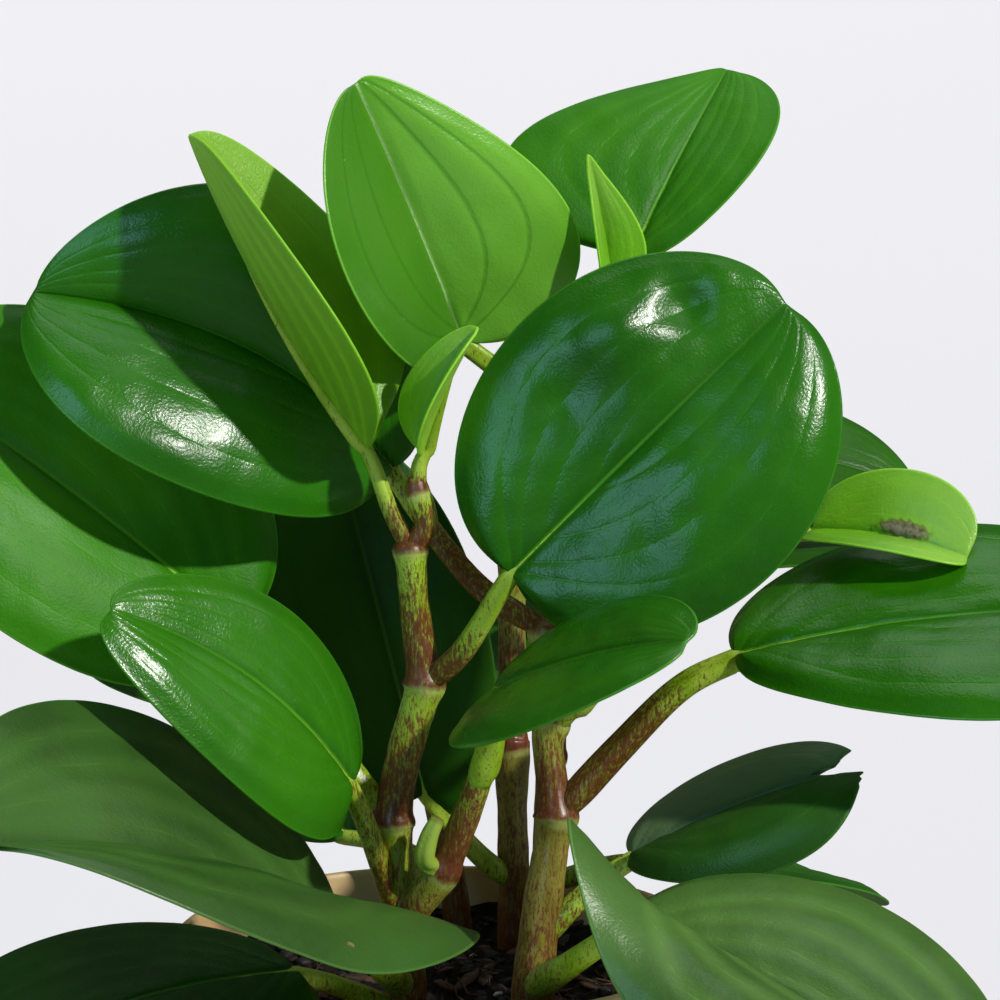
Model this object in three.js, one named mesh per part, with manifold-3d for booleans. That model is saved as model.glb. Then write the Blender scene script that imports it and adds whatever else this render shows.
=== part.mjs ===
import * as THREE from 'three';
import { mergeVertices } from 'three/addons/utils/BufferGeometryUtils.js';
import Module from 'manifold-3d';

// A peperomia in its pot: millimetres, +Z up, origin at the middle of the pot's flat base.
// The plant is seen from the front along +Y, with +X to the right.

// Pot: its wall is a taper below a rim band, with rounded edges
const POT_HEIGHT = 100;
const RIM_RADIUS = 55;
const BASE_RADIUS = 39;
const BAND_HEIGHT = 14;
const BAND_STEP = 1.6;
const WALL = 2.2;
const FLOOR = 2.5;
const EDGE = 0.8;
const POT_SIDES = 40;

// Soil
const SOIL_TOP = 91;
const SOIL_RINGS = [0.25, 0.5, 0.75, 1];
const SOIL_SIDES = 28;
const SOIL_BUMP = 1.6;

// Clearance between pieces that touch, and how near two points are the same one
const GAP = 0.3;
const SAME_POINT = 1e-4;

// Stems
const STEM_SIDES = 10;

// Leaf blades: the notch, the fullness and the spread of the lobes are what a leaf has where it says
// nothing else
const BLADE_THICKNESS = 1.0;
const BLADE_ANGLES = 18;
const BLADE_RINGS = [0.45, 0.78, 1];
const NOTCH = 1;
const FULLNESS = 0.9;
const FLARE_END = 0.4;
const NOTCH_SPREAD = 0.25;
const LOBE_SPREAD = 0.5;
const NORMAL_STEP = 0.5;

// Petioles, thicker at the stem, each ending in a keel under the midrib: its places and shares of size
const PETIOLE_RADIUS = 2.0;
const YOUNG_PETIOLE_RADIUS = 1.5;
const PETIOLE_FOOT = 1.25;
const PETIOLE_END = 0.9;
const PETIOLE_SIDES = 6;
const PETIOLE_STEPS = 5;
const KEEL = [[0.1, 0.85], [0.22, 0.65], [0.36, 0.4]];
const KEEL_DEPTH = 0.35;

const GREEN = new THREE.Color(0.05, 0.19, 0.025);
const YOUNG_GREEN = new THREE.Color(0.2, 0.4, 0.05);
const STEM_GREEN = new THREE.Color(0.16, 0.15, 0.04);
const TAN = new THREE.Color(0.6, 0.44, 0.25);
const SOIL_BROWN = new THREE.Color(0.03, 0.022, 0.016);

// Each stem is a list of points with a radius: the wider points are its joints.
const STEMS = {
  main_stem: [
    [
      [-6, -28, 72, 4.0], [-6.2, -28, 93, 4.0], [-7, -29, 110, 3.8], [-8.5, -30, 127, 3.7],
      [-8.8, -30, 131, 4.5], [-8.4, -30, 135, 3.6], [-6.2, -31, 145.5, 3.4], [-3.4, -32, 155, 3.4],
      [-2.5, -32, 158.5, 4.3], [-2.9, -32, 162.5, 3.2], [-4.2, -32, 173, 2.9], [-4.8, -33, 181.5, 2.9],
      [-5, -33, 184.6, 3.4], [-5, -33, 186.5, 2.4],
    ],
    [[-5, -33, 184.6, 2.2], [-2, -33.5, 189.5, 2.3], [-3.6, -33.5, 195.8, 2.4], [-3.6, -33.5, 198.5, 1.6]],
    [
      [-7, -29, 106, 2.4], [-4.2, -32.5, 115, 3.1], [0.9, -35, 122.6, 3.7], [2.6, -35.8, 126.5, 2.9],
      [6.2, -38, 136, 2.7], [8.2, -39.5, 142, 2.4],
    ],
    [[0.9, -35, 122.6, 1.8], [-2.2, -38.5, 125.5, 2.0], [-1.6, -39, 130, 1.8], [0.2, -39, 134, 1.1]],
  ],
  right_stem: [
    [
      [18.5, -24, 72, 4.2], [18.3, -24, 92.6, 4.2], [20, -22.5, 110, 3.9], [22.4, -20.5, 126, 3.6],
      [23, -20, 129.5, 4.6], [22.6, -19.6, 133.5, 3.4], [21.4, -18, 143.5, 3.1], [22.2, -17, 148, 3.8],
      [22, -16.2, 152, 3.0], [21.4, -14.4, 161.5, 3.0], [21.2, -14, 165.3, 3.8], [22.2, -12.6, 170, 2.8],
      [25.8, -6, 194, 2.6], [28.2, -3, 207, 3.1], [32, 0, 223.6, 2.3], [33, 1, 229, 2.5],
    ],
  ],
  back_stem: [
    [
      [14.6, 24, 72, 3.6], [15, 25, 97, 3.5], [14.6, 24, 120, 3.2], [14.5, 23, 134, 3.9],
      [14.6, 23, 139, 3.1], [14.5, 22, 167, 2.9], [15, 22, 176, 3.6], [16, 22, 182, 2.7],
      [20, 24, 205, 2.4], [21, 25, 214, 2.8],
    ],
  ],
  back_left_stem: [
    [
      [3, 36, 72, 3.0], [2.5, 36, 96, 3.0], [-4, 37, 130, 2.8], [-6, 38, 136, 3.4], [-9, 38, 143, 2.7],
      [-15, 39, 165, 2.6], [-18, 39, 173, 3.2], [-20, 39, 180, 2.4], [-26, 39, 202, 2.2],
    ],
  ],
  back_right_stem: [
    [
      [21, 33, 72, 3.2], [21.5, 34, 96, 3.2], [22.5, 38, 122, 2.9], [23, 39, 128, 3.6],
      [23.5, 39, 134, 2.8],
      [26, 40, 160, 2.7], [28, 40, 168, 3.3], [31, 40, 175, 2.5], [38, 42, 196, 2.3],
    ],
  ],
};

// Each leaf: its stem, the points of its petiole from inside that stem to the blade's base, the blade's
// tip and the way its upper face looks. Every pair is for the left and the right half of the blade:
// half is its width, taper makes it wider toward the tip, fold lifts it off the midrib in degrees, cup
// adds to that by the margin, lobe sweeps its base back and flare raises the margin there. spread is the
// lobes' place, in radians from the base. arch bulges the midrib toward the face, side bows it to the
// right, notch dents the apex, or tears it if below 0, and stalk is the petiole's radius.
const LEAVES = {
  leaf_upper_left: {
    stem: 'right_stem', petiole: [[21.2, -14, 165.3], [8, -13, 174], [-3, -10, 187], [-9.3, -8, 197]],
    tip: [-75.3, -32, 233.2], face: [0.05, -0.85, 0.5], half: [33.5, 30], taper: [0.1, 0.1],
    arch: 9, side: 5, fold: [22, 42], cup: [-22, -30], lobe: [-2, 4],
  },
  leaf_young_folded: {
    stem: 'main_stem', petiole: [[-5, -33, 184.6], [-9, -33.5, 193], [-12.5, -33.5, 204]], young: true,
    tip: [-44.8, -41, 262.6], face: [0.8, -0.3, 0.45], half: [24, 22], taper: [-0.3, -0.35],
    arch: -3, fold: [44, 36], cup: [4, 8], lobe: [-3, -3], notch: 0,
  },
  leaf_top_centre: {
    stem: 'right_stem', petiole: [[28.2, -3, 207], [18, -7, 212], [4.6, -12, 222]],
    tip: [-15, -32, 272], face: [0.2, -0.92, 0.1], half: [28, 26], taper: [0.15, -0.5],
    arch: 2, fold: [46, 10], cup: [0, -6], lobe: [3, 6],
  },
  leaf_shoot_tip: {
    stem: 'main_stem', petiole: [[-3.6, -33.5, 195.8], [-3.4, -33.6, 199.5], [-2.7, -34, 203.4]],
    young: true,
    tip: [7.9, -40, 227.3], face: [-0.8, -0.45, 0.35], half: [8, 9.5], taper: [-0.3, -0.2],
    arch: 1, fold: [38, 34], cup: [8, 8], lobe: [0, 0], notch: 0,
  },
  leaf_round_front: {
    stem: 'main_stem', petiole: [[-2.5, -32, 158.5], [5, -37, 166], [14, -42, 181.5]],
    tip: [65.2, -36, 231.4], face: [-0.05, -0.95, 0.25], half: [32, 34], taper: [0, 0],
    arch: 3, fold: [6, 8], cup: [-12, -16], lobe: [2, 3], notch: 1.6,
  },
  leaf_top_right: {
    stem: 'right_stem', petiole: [[33, 1, 229], [35, 3, 233], [38.5, 7, 238]],
    tip: [59, 32, 274.6], face: [-0.1, -0.85, 0.5], half: [26, 16], taper: [-0.75, 0.3],
    arch: 2, fold: [10, 14], cup: [0, 0], lobe: [4, 0], notch: 0.4, full: 0.8,
  },
  leaf_young_curled: {
    stem: 'right_stem', petiole: [[31.6, -0.3, 221.5], [32.6, -6, 226.5], [33.6, -10, 232]], young: true,
    tip: [28.8, -18, 258.5], face: [0.5, -0.8, 0.1], half: [8, 6.5], taper: [-0.7, -0.8],
    arch: -1.5, side: 1.5, fold: [44, 30], cup: [6, 6], lobe: [0, 0], notch: 0,
  },
  leaf_scarred: {
    stem: 'right_stem', petiole: [[25.8, -6, 194], [45, -6, 185], [60, -10, 183], [73.3, -12, 185]],
    young: true,
    tip: [101.5, -26, 182], face: [0, -0.6, 0.8], half: [14, 9.5], taper: [0.1, 0],
    arch: 2, fold: [34, 30], cup: [0, 0], lobe: [1, 1], full: 0.6,
  },
  leaf_far_right: {
    stem: 'back_right_stem', petiole: [[36.6, 41.6, 191.5], [44, 44, 191], [50, 47, 192]],
    tip: [102, 52, 184], face: [0, -0.5, 0.85], half: [17, 18], taper: [0, 0],
    arch: 5, fold: [8, 8], cup: [0, 0], lobe: [2, 2],
  },
  leaf_right_large: {
    stem: 'right_stem', petiole: [[23, -20, 129.5], [35.5, -22, 144], [47, -25, 156.5], [57.3, -26, 163]],
    stalk: 2.6,
    tip: [134, -40, 174], face: [-0.1, -0.5, 0.86], half: [27, 27], taper: [0, 0.35],
    arch: 4, fold: [4, 2], cup: [-4, -6], lobe: [3, 0],
  },
  leaf_front_small: {
    stem: 'main_stem', petiole: [[8, -39.4, 141], [10, -42, 149], [10.9, -48, 160.5]], stalk: 2.6,
    tip: [44.2, -84, 176.5], face: [0.1, -0.6, 0.8], half: [15, 20], taper: [0, -0.15],
    arch: 2, fold: [14, 2], cup: [-6, -10], lobe: [2, 7],
  },
  leaf_middle: {
    stem: 'right_stem', petiole: [[22.2, -17, 148], [24.5, -19, 149.5], [26.5, -20, 152]],
    tip: [54.4, -34, 174.8], face: [-0.45, 0.15, 0.85], half: [13, 13], taper: [0, 0],
    arch: 2, fold: [8, 8], cup: [0, 0], lobe: [1, 1],
  },
  leaf_left_large: {
    stem: 'main_stem', petiole: [[-8.8, -30, 131], [-22, -29, 148], [-38.5, -25, 168.4]],
    tip: [-102.6, -34, 219.7], face: [0.1, -0.8, 0.6], half: [30.5, 33], taper: [0, 0],
    arch: 4, fold: [2, 8], cup: [-4, -4], lobe: [3, 3],
  },
  leaf_left_centre: {
    stem: 'main_stem', petiole: [[-7.2, -29.4, 112], [-11, -34, 124], [-16, -40, 141]],
    tip: [-57.5, -66, 179], face: [0.4, -0.7, 0.6], half: [20.5, 17], taper: [-0.2, -0.1],
    arch: 4, side: 3, fold: [4, 6], cup: [-6, 0], lobe: [3, 2],
  },
  leaf_left_front: {
    stem: 'main_stem', petiole: [[-6.4, -28.3, 97.5], [-10.5, -38, 104.5], [-18.5, -44, 114.5]], stalk: 2.5,
    tip: [-78, -111, 147], face: [0.1, -0.15, 0.95], half: [38, 35], taper: [0, 0],
    arch: 5, fold: [28, 46], cup: [-65, -20], lobe: [21, 2], spread: 0.8, flare: [9, 0],
  },
  leaf_low_left: {
    stem: 'main_stem', petiole: [[-6, -28, 92], [-16, -36, 99], [-27, -45, 106]],
    tip: [-90, -82, 94.5], face: [-0.1, -0.28, 0.9], half: [30, 31], taper: [0, 0],
    arch: 5, fold: [-4, 2], cup: [-10, -6], lobe: [2, 2],
  },
  leaf_torn: {
    stem: 'right_stem', petiole: [[19.6, -22.8, 105], [28, -22.5, 114], [38, -23, 122.6]],
    tip: [82, -29, 141.6], face: [-0.3, -0.5, 0.8], half: [13, 19.5], taper: [0.05, 0.15],
    arch: 2, fold: [12, 42], cup: [-20, -90], lobe: [2, 2], notch: -10,
  },
  leaf_right_front: {
    stem: 'right_stem', petiole: [[18.4, -24, 96], [24, -37, 104], [34.5, -47, 115]], stalk: 2.6,
    tip: [96.6, -96, 88], face: [0.2, -0.3, 0.9], half: [29, 35], taper: [0, 0],
    arch: 6, fold: [29, 56], cup: [-15, -110], lobe: [2, 12], spread: 0.7, flare: [0, 28],
  },
  leaf_behind_left: {
    stem: 'back_left_stem', petiole: [[-6, 38, 136], [-16, 30, 140], [-28, 24, 145]],
    tip: [-74, 20, 156], face: [0, -0.5, 0.85], half: [20, 22], taper: [0, 0],
    arch: 4, fold: [8, 8], cup: [0, 0], lobe: [2, 2],
  },
  leaf_behind_stems: {
    stem: 'back_stem', petiole: [[15, 25, 104], [7, 20, 112], [-3.6, 14, 126]],
    tip: [-22, 20, 198], face: [0.1, -0.95, 0.1], half: [25, 21], taper: [0.1, 0],
    arch: 3, fold: [6, 6], cup: [0, 0], lobe: [2, 9],
  },
  leaf_back_low: {
    stem: 'back_stem', petiole: [[14.5, 23, 134], [10, 34, 138], [6, 42, 140]],
    tip: [0, 104, 150], face: [0, -0.15, 0.95], half: [18, 18], taper: [0, 0],
    arch: 6, fold: [8, 8], cup: [0, 0], lobe: [2, 2],
  },
  leaf_back_left_high: {
    stem: 'back_left_stem', petiole: [[-26, 39, 200], [-32, 43, 203], [-38, 47, 205]],
    tip: [-84, 62, 222], face: [0.1, -0.3, 0.9], half: [25, 25], taper: [0, 0],
    arch: 5, fold: [6, 6], cup: [0, 0], lobe: [2, 2],
  },
  leaf_back_left_middle: {
    stem: 'back_left_stem', petiole: [[-18, 39, 173], [-22, 45, 177], [-27, 52, 180]],
    tip: [-58, 112, 190], face: [-0.1, 0.3, 0.9], half: [30, 30], taper: [0, 0],
    arch: 7, fold: [8, 8], cup: [0, 0], lobe: [3, 3],
  },
  leaf_back_top: {
    stem: 'back_left_stem', petiole: [[-23, 39, 191], [-19, 46, 202], [-18, 54, 211]],
    tip: [-12, 100, 240], face: [0.1, -0.45, 0.9], half: [24, 24], taper: [0, 0],
    arch: 5, fold: [8, 8], cup: [0, 0], lobe: [2, 2],
  },
  leaf_back_right_high: {
    stem: 'back_right_stem', petiole: [[37.6, 42, 195], [41, 52, 202], [45, 61, 204]],
    tip: [66, 114, 204], face: [-0.1, 0.1, 0.95], half: [27, 27], taper: [0, 0],
    arch: 6, fold: [8, 8], cup: [0, 0], lobe: [2, 2],
  },
  leaf_back_right_middle: {
    stem: 'back_right_stem', petiole: [[26.6, 40, 163], [28, 48, 164], [30, 56, 164]],
    tip: [36, 124, 164], face: [0, 0.2, 0.95], half: [29, 29], taper: [0, 0],
    arch: 8, fold: [8, 8], cup: [0, 0], lobe: [3, 3],
  },
  leaf_back_right_side: {
    stem: 'back_right_stem', petiole: [[28.4, 40, 169], [40, 43, 171], [54, 48, 169]],
    tip: [122, 68, 158], face: [0, -0.1, 0.95], half: [28, 28], taper: [0, 0],
    arch: 7, fold: [8, 8], cup: [0, 0], lobe: [3, 3],
  },
  leaf_back_right_low: {
    stem: 'back_right_stem', petiole: [[22, 35, 101], [38, 41, 104], [56, 48, 102.5]],
    tip: [96, 86, 84], face: [0.3, 0.2, 0.9], half: [20, 20], taper: [0, 0],
    arch: 3, fold: [2, 2], cup: [0, 0], lobe: [2, 2],
  },
  leaf_back_left_low: {
    stem: 'back_left_stem', petiole: [[2, 36, 102], [-10, 42, 107], [-22, 48, 109]],
    tip: [-78, 90, 104], face: [-0.2, 0.1, 0.95], half: [30, 30], taper: [0, 0],
    arch: 8, fold: [8, 8], cup: [0, 0], lobe: [3, 3],
  },
  leaf_back_centre_high: {
    stem: 'right_stem', petiole: [[30, -1.5, 215], [33, 6, 217], [35, 14, 217]],
    tip: [44, 72, 226], face: [-0.1, -0.2, 0.95], half: [23, 23], taper: [0, 0],
    arch: 5, fold: [8, 8], cup: [0, 0], lobe: [2, 2],
  },
};

const wasm = await Module();
wasm.setup();

const vec = (p) => new THREE.Vector3(p[0], p[1], p[2]);

// A closed solid out of points and triangles.
function solidOf(points, triangles) {
  const geometry = new THREE.BufferGeometry().setFromPoints(points);
  geometry.setIndex(triangles.flat());
  const merged = mergeVertices(geometry, SAME_POINT);
  return new wasm.Manifold(new wasm.Mesh({
    numProp: 3,
    vertProperties: new Float32Array(merged.attributes.position.array),
    triVerts: new Uint32Array(merged.index.array),
  }));
}

function geometryOf(solid) {
  const mesh = solid.getMesh();
  const geometry = new THREE.BufferGeometry();
  geometry.setAttribute('position', new THREE.BufferAttribute(new Float32Array(mesh.vertProperties), 3));
  geometry.setIndex(new THREE.BufferAttribute(new Uint32Array(mesh.triVerts), 1));
  return geometry;
}

// A tube with a radius at each point and closed ends.
function taperedTube(curve, radii, sides) {
  const points = [];
  const triangles = [];
  let side = null;
  curve.forEach((p, i) => {
    const before = curve[Math.max(i - 1, 0)];
    const after = curve[Math.min(i + 1, curve.length - 1)];
    const along = after.clone().sub(before).normalize();
    if (side === null) {
      side = new THREE.Vector3(1, 0, 0).addScaledVector(along, -along.x).normalize();
    }
    side.addScaledVector(along, -side.dot(along)).normalize();
    const across = along.clone().cross(side);
    for (let k = 0; k < sides; k += 1) {
      const turn = (2 * Math.PI * k) / sides;
      points.push(p.clone()
        .addScaledVector(side, radii[i] * Math.cos(turn))
        .addScaledVector(across, radii[i] * Math.sin(turn)));
    }
  });
  for (let i = 0; i + 1 < curve.length; i += 1) {
    for (let k = 0; k < sides; k += 1) {
      const a = i * sides + k;
      const b = i * sides + ((k + 1) % sides);
      triangles.push([a, b, b + sides], [a, b + sides, a + sides]);
    }
  }
  const first = points.push(curve[0].clone()) - 1;
  const last = points.push(curve[curve.length - 1].clone()) - 1;
  const end = (curve.length - 1) * sides;
  for (let k = 0; k < sides; k += 1) {
    const next = (k + 1) % sides;
    triangles.push([first, next, k], [last, end + k, end + next]);
  }
  return solidOf(points, triangles);
}

// A stem with all its shoots, made wider by the given clearance.
function stemSolid(branches, clearance) {
  const tubes = branches.map((branch) => taperedTube(
    branch.map(vec),
    branch.map((p) => p[3] + clearance),
    STEM_SIDES,
  ));
  return tubes.reduce((whole, tube) => whole.add(tube));
}

// The frame of a blade: along the midrib, across to its right side and out of its upper face.
function bladeFrame(leaf) {
  const base = vec(leaf.petiole[leaf.petiole.length - 1]);
  const chord = vec(leaf.tip).sub(base);
  const length = chord.length();
  const along = chord.normalize();
  const out = vec(leaf.face);
  out.addScaledVector(along, -out.dot(along)).normalize();
  const across = along.clone().cross(out);
  return { base, length, along, out, across };
}

// How far a half blade reaches out and up at a share t of its width, bent on an arc by fold and cup.
function halfArc(width, fold, cup, t) {
  const first = THREE.MathUtils.degToRad(fold);
  const turn = THREE.MathUtils.degToRad(cup) * t;
  const reach = width * t;
  if (turn === 0) {
    return [reach * Math.cos(first), reach * Math.sin(first)];
  }
  const last = first + turn;
  const radius = reach / turn;
  return [radius * (Math.sin(last) - Math.sin(first)), radius * (Math.cos(first) - Math.cos(last))];
}

// The point of the blade at x along and y across, in millimetres.
function bladePoint(leaf, frame, x, y) {
  const s = x / frame.length;
  const side = y < 0 ? 0 : 1;
  const t = Math.abs(y) / leaf.half[side];
  const [reach, lift] = halfArc(leaf.half[side], leaf.fold[side], leaf.cup[side], t);
  const flare = leaf.flare ? leaf.flare[side] * t * Math.max(0, 1 - s / FLARE_END) ** 2 : 0;
  const bow = 4 * s * (1 - s);
  return frame.base.clone()
    .addScaledVector(frame.along, x)
    .addScaledVector(frame.across, (side === 0 ? -reach : reach) + (leaf.side || 0) * bow)
    .addScaledVector(frame.out, lift + flare + leaf.arch * bow);
}

// Rises from nothing to 1 at the given angle and fades again.
const dent = (angle, at) => (angle / at) * Math.exp(1 - angle / at);

// The blade's outline at an angle round its middle: 0 is the tip and half a turn is the base.
function outlinePoint(leaf, frame, angle) {
  const fromTip = Math.abs(angle);
  const fromBase = Math.PI - fromTip;
  const side = angle < 0 ? 0 : 1;
  const notch = leaf.notch === undefined ? NOTCH : leaf.notch;
  const x = frame.length * (0.5 + 0.5 * Math.cos(angle))
    - leaf.lobe[side] * dent(fromBase, leaf.spread || LOBE_SPREAD)
    + Math.max(notch, 0) * dent(fromTip, NOTCH_SPREAD)
    + (fromTip === 0 ? Math.min(notch, 0) : 0);
  const full = Math.max(Math.sin(fromTip), 0) ** (leaf.full || FULLNESS);
  const y = Math.sign(angle) * leaf.half[side] * full * (1 + leaf.taper[side] * Math.cos(angle));
  return [x, y];
}

// The blade: rings of points round its middle, on the upper and the lower face alike.
function bladeSolid(leaf, frame) {
  const middle = frame.length / 2;
  const flat = [[middle, 0]];
  for (const ring of BLADE_RINGS) {
    for (let k = 0; k < BLADE_ANGLES; k += 1) {
      const angle = Math.PI * ((2 * k) / BLADE_ANGLES);
      const [x, y] = outlinePoint(leaf, frame, angle > Math.PI ? angle - 2 * Math.PI : angle);
      flat.push([middle + ring * (x - middle), ring * y]);
    }
  }
  const faces = { upper: [], lower: [] };
  const at = (x, y) => bladePoint(leaf, frame, x, y);
  for (const [x, y] of flat) {
    const here = at(x, y);
    const ahead = at(x + NORMAL_STEP, y).sub(at(x - NORMAL_STEP, y));
    const aside = at(x, y + NORMAL_STEP).sub(at(x, y - NORMAL_STEP));
    const normal = aside.cross(ahead).normalize();
    faces.upper.push(here.clone().addScaledVector(normal, BLADE_THICKNESS / 2));
    faces.lower.push(here.clone().addScaledVector(normal, -BLADE_THICKNESS / 2));
  }
  const count = flat.length;
  const rim = 1 + (BLADE_RINGS.length - 1) * BLADE_ANGLES;
  const triangles = [];
  const both = (a, b, c) => triangles.push([a, c, b], [a + count, b + count, c + count]);
  for (let k = 0; k < BLADE_ANGLES; k += 1) {
    const next = (k + 1) % BLADE_ANGLES;
    both(0, 1 + k, 1 + next);
    for (let ring = 0; ring + 1 < BLADE_RINGS.length; ring += 1) {
      const a = 1 + ring * BLADE_ANGLES;
      const b = a + BLADE_ANGLES;
      both(a + k, b + k, b + next);
      both(a + k, b + next, a + next);
    }
    triangles.push(
      [rim + k, rim + next, rim + next + count],
      [rim + k, rim + next + count, rim + k + count],
    );
  }
  return solidOf([...faces.upper, ...faces.lower], triangles);
}

// The petiole, from inside its stem to the blade and on under the midrib as a keel.
function petioleSolid(leaf, frame) {
  const curve = new THREE.CatmullRomCurve3(leaf.petiole.map(vec));
  const size = leaf.stalk || (leaf.young ? YOUNG_PETIOLE_RADIUS : PETIOLE_RADIUS);
  const path = curve.getPoints(PETIOLE_STEPS);
  path[PETIOLE_STEPS].addScaledVector(frame.out, -KEEL_DEPTH);
  const widths = path.map((p, i) => THREE.MathUtils.lerp(PETIOLE_FOOT, PETIOLE_END, i / PETIOLE_STEPS));
  const radii = widths.map((width) => size * width);
  for (const [s, share] of KEEL) {
    path.push(bladePoint(leaf, frame, s * frame.length, 0).addScaledVector(frame.out, -KEEL_DEPTH));
    radii.push(size * share);
  }
  return taperedTube(path, radii, PETIOLE_SIDES);
}

function leafSolid(leaf) {
  const frame = bladeFrame(leaf);
  return bladeSolid(leaf, frame).add(petioleSolid(leaf, frame)).subtract(stemSolid(STEMS[leaf.stem], GAP));
}

// The radius of the pot's inside at a height, from its floor to just under the rim.
const INSIDE_TOP = POT_HEIGHT - EDGE;
const potInside = (z) => THREE.MathUtils.mapLinear(
  z,
  FLOOR,
  INSIDE_TOP,
  BASE_RADIUS - WALL,
  RIM_RADIUS - WALL - EDGE / 2,
);

// The pot's profile, from the middle of its floor out, up, over the rim and back down the inside.
function potSolid() {
  const bandBottom = POT_HEIGHT - BAND_HEIGHT;
  const profile = [
    [0, 0], [BASE_RADIUS - EDGE, 0], [BASE_RADIUS, EDGE],
    [RIM_RADIUS - BAND_STEP, bandBottom], [RIM_RADIUS - EDGE / 2, bandBottom + EDGE],
    [RIM_RADIUS, POT_HEIGHT - EDGE], [RIM_RADIUS - EDGE, POT_HEIGHT],
    [RIM_RADIUS - WALL, POT_HEIGHT], [potInside(INSIDE_TOP), INSIDE_TOP],
    [potInside(FLOOR), FLOOR], [0, FLOOR],
  ];
  const lathe = new THREE.LatheGeometry(profile.map(([r, z]) => new THREE.Vector2(r, z)), POT_SIDES);
  lathe.rotateX(Math.PI / 2);
  lathe.deleteAttribute('normal');
  lathe.deleteAttribute('uv');
  return mergeVertices(lathe, SAME_POINT);
}

// The height of the soil: low mounds that differ all over, and level at the pot's wall.
const soilHeight = (x, y) => SOIL_TOP + SOIL_BUMP * (Math.sin(0.11 * x + 0.6) * Math.cos(0.13 * y)
  + 0.5 * Math.sin(0.27 * x + 0.19 * y + 1.3));

function soilSolid() {
  const points = [];
  const triangles = [];
  const floor = FLOOR + GAP;
  points.push(new THREE.Vector3(0, 0, soilHeight(0, 0)));
  for (const ring of SOIL_RINGS) {
    for (let k = 0; k < SOIL_SIDES; k += 1) {
      const turn = (2 * Math.PI * k) / SOIL_SIDES;
      const r = ring * (potInside(SOIL_TOP) - 2 * GAP);
      const x = r * Math.cos(turn);
      const y = r * Math.sin(turn);
      points.push(new THREE.Vector3(x, y, soilHeight(x, y)));
    }
  }
  for (let k = 0; k < SOIL_SIDES; k += 1) {
    const turn = (2 * Math.PI * k) / SOIL_SIDES;
    const r = potInside(floor) - 2 * GAP;
    points.push(new THREE.Vector3(r * Math.cos(turn), r * Math.sin(turn), floor));
  }
  const under = points.push(new THREE.Vector3(0, 0, floor)) - 1;
  for (let k = 0; k < SOIL_SIDES; k += 1) {
    const next = (k + 1) % SOIL_SIDES;
    triangles.push([0, 1 + k, 1 + next]);
    for (let ring = 0; ring < SOIL_RINGS.length; ring += 1) {
      const a = 1 + ring * SOIL_SIDES;
      const b = a + SOIL_SIDES;
      triangles.push([a + k, b + k, b + next], [a + k, b + next, a + next]);
    }
    const low = 1 + SOIL_RINGS.length * SOIL_SIDES;
    triangles.push([under, low + next, low + k]);
  }
  const holes = Object.values(STEMS).map((branches) => stemSolid(branches, GAP));
  return holes.reduce((soil, hole) => soil.subtract(hole), solidOf(points, triangles));
}

const object = new THREE.Group();

function addPiece(name, geometry, color, roughness) {
  const mesh = new THREE.Mesh(geometry, new THREE.MeshStandardMaterial({ color, roughness, metalness: 0 }));
  mesh.name = name;
  object.add(mesh);
}

addPiece('pot', potSolid(), TAN, 0.6);
addPiece('soil', geometryOf(soilSolid()), SOIL_BROWN, 0.95);
for (const [name, branches] of Object.entries(STEMS)) {
  addPiece(name, geometryOf(stemSolid(branches, 0)), STEM_GREEN, 0.5);
}
for (const [name, leaf] of Object.entries(LEAVES)) {
  addPiece(name, geometryOf(leafSolid(leaf)), leaf.young ? YOUNG_GREEN : GREEN, 0.3);
}

export default object;
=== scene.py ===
"""A potted peperomia: thick glossy leaves on speckled stems, in a tan pot of dark soil.

Every length in the tables is in millimetres, as in the part's own source, and becomes metres where a
mesh is made. The plant is seen from the front along +Y, with +X to the right and +Z up.
"""

import math
import random
from types import SimpleNamespace

import bmesh
import bpy
import numpy as np
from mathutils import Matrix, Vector


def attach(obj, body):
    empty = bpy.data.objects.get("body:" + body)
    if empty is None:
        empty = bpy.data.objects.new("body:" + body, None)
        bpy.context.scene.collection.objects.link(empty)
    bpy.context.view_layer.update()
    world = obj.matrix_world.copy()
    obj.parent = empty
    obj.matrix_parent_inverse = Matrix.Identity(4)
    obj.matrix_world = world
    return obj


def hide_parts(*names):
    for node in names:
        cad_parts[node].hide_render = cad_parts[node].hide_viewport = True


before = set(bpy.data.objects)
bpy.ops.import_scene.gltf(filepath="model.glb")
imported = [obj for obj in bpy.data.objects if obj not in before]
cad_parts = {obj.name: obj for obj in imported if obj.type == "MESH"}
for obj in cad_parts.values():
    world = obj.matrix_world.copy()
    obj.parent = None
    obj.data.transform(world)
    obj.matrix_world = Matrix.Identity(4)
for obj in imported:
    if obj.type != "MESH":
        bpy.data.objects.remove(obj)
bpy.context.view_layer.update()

MM = 0.001
SEED = 7
FULL_TURN = 2 * math.pi

# Camera: it looks slightly down from the front
TARGET = (12, 0, 189.5)
DISTANCE = 600
PITCH = math.radians(8)
LENS = 108

# Pot and soil, as in the frame
POT_HEIGHT = 100
RIM_RADIUS = 55
BASE_RADIUS = 39
BAND_HEIGHT = 14
BAND_STEP = 1.6
WALL = 2.2
FLOOR = 2.5
EDGE = 0.8
FOOT_HEIGHT = 1.2
FOOT_WIDTH = 9
FOOT_SLOPE = 0.6
INSIDE_TOP = POT_HEIGHT - EDGE
SOIL_TOP = 91
SOIL_BUMP = 1.6

# Their finer mesh
POT_SIDES = 144
POT_CORNER = 0.6
OUT_OF_ROUND = 0.12
SOIL_SIDES = 168
SOIL_RINGS = 60
SOIL_DEPTH = 14
SOIL_GAP = 0.4
SOIL_LOW_GAP = 0.6

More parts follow.
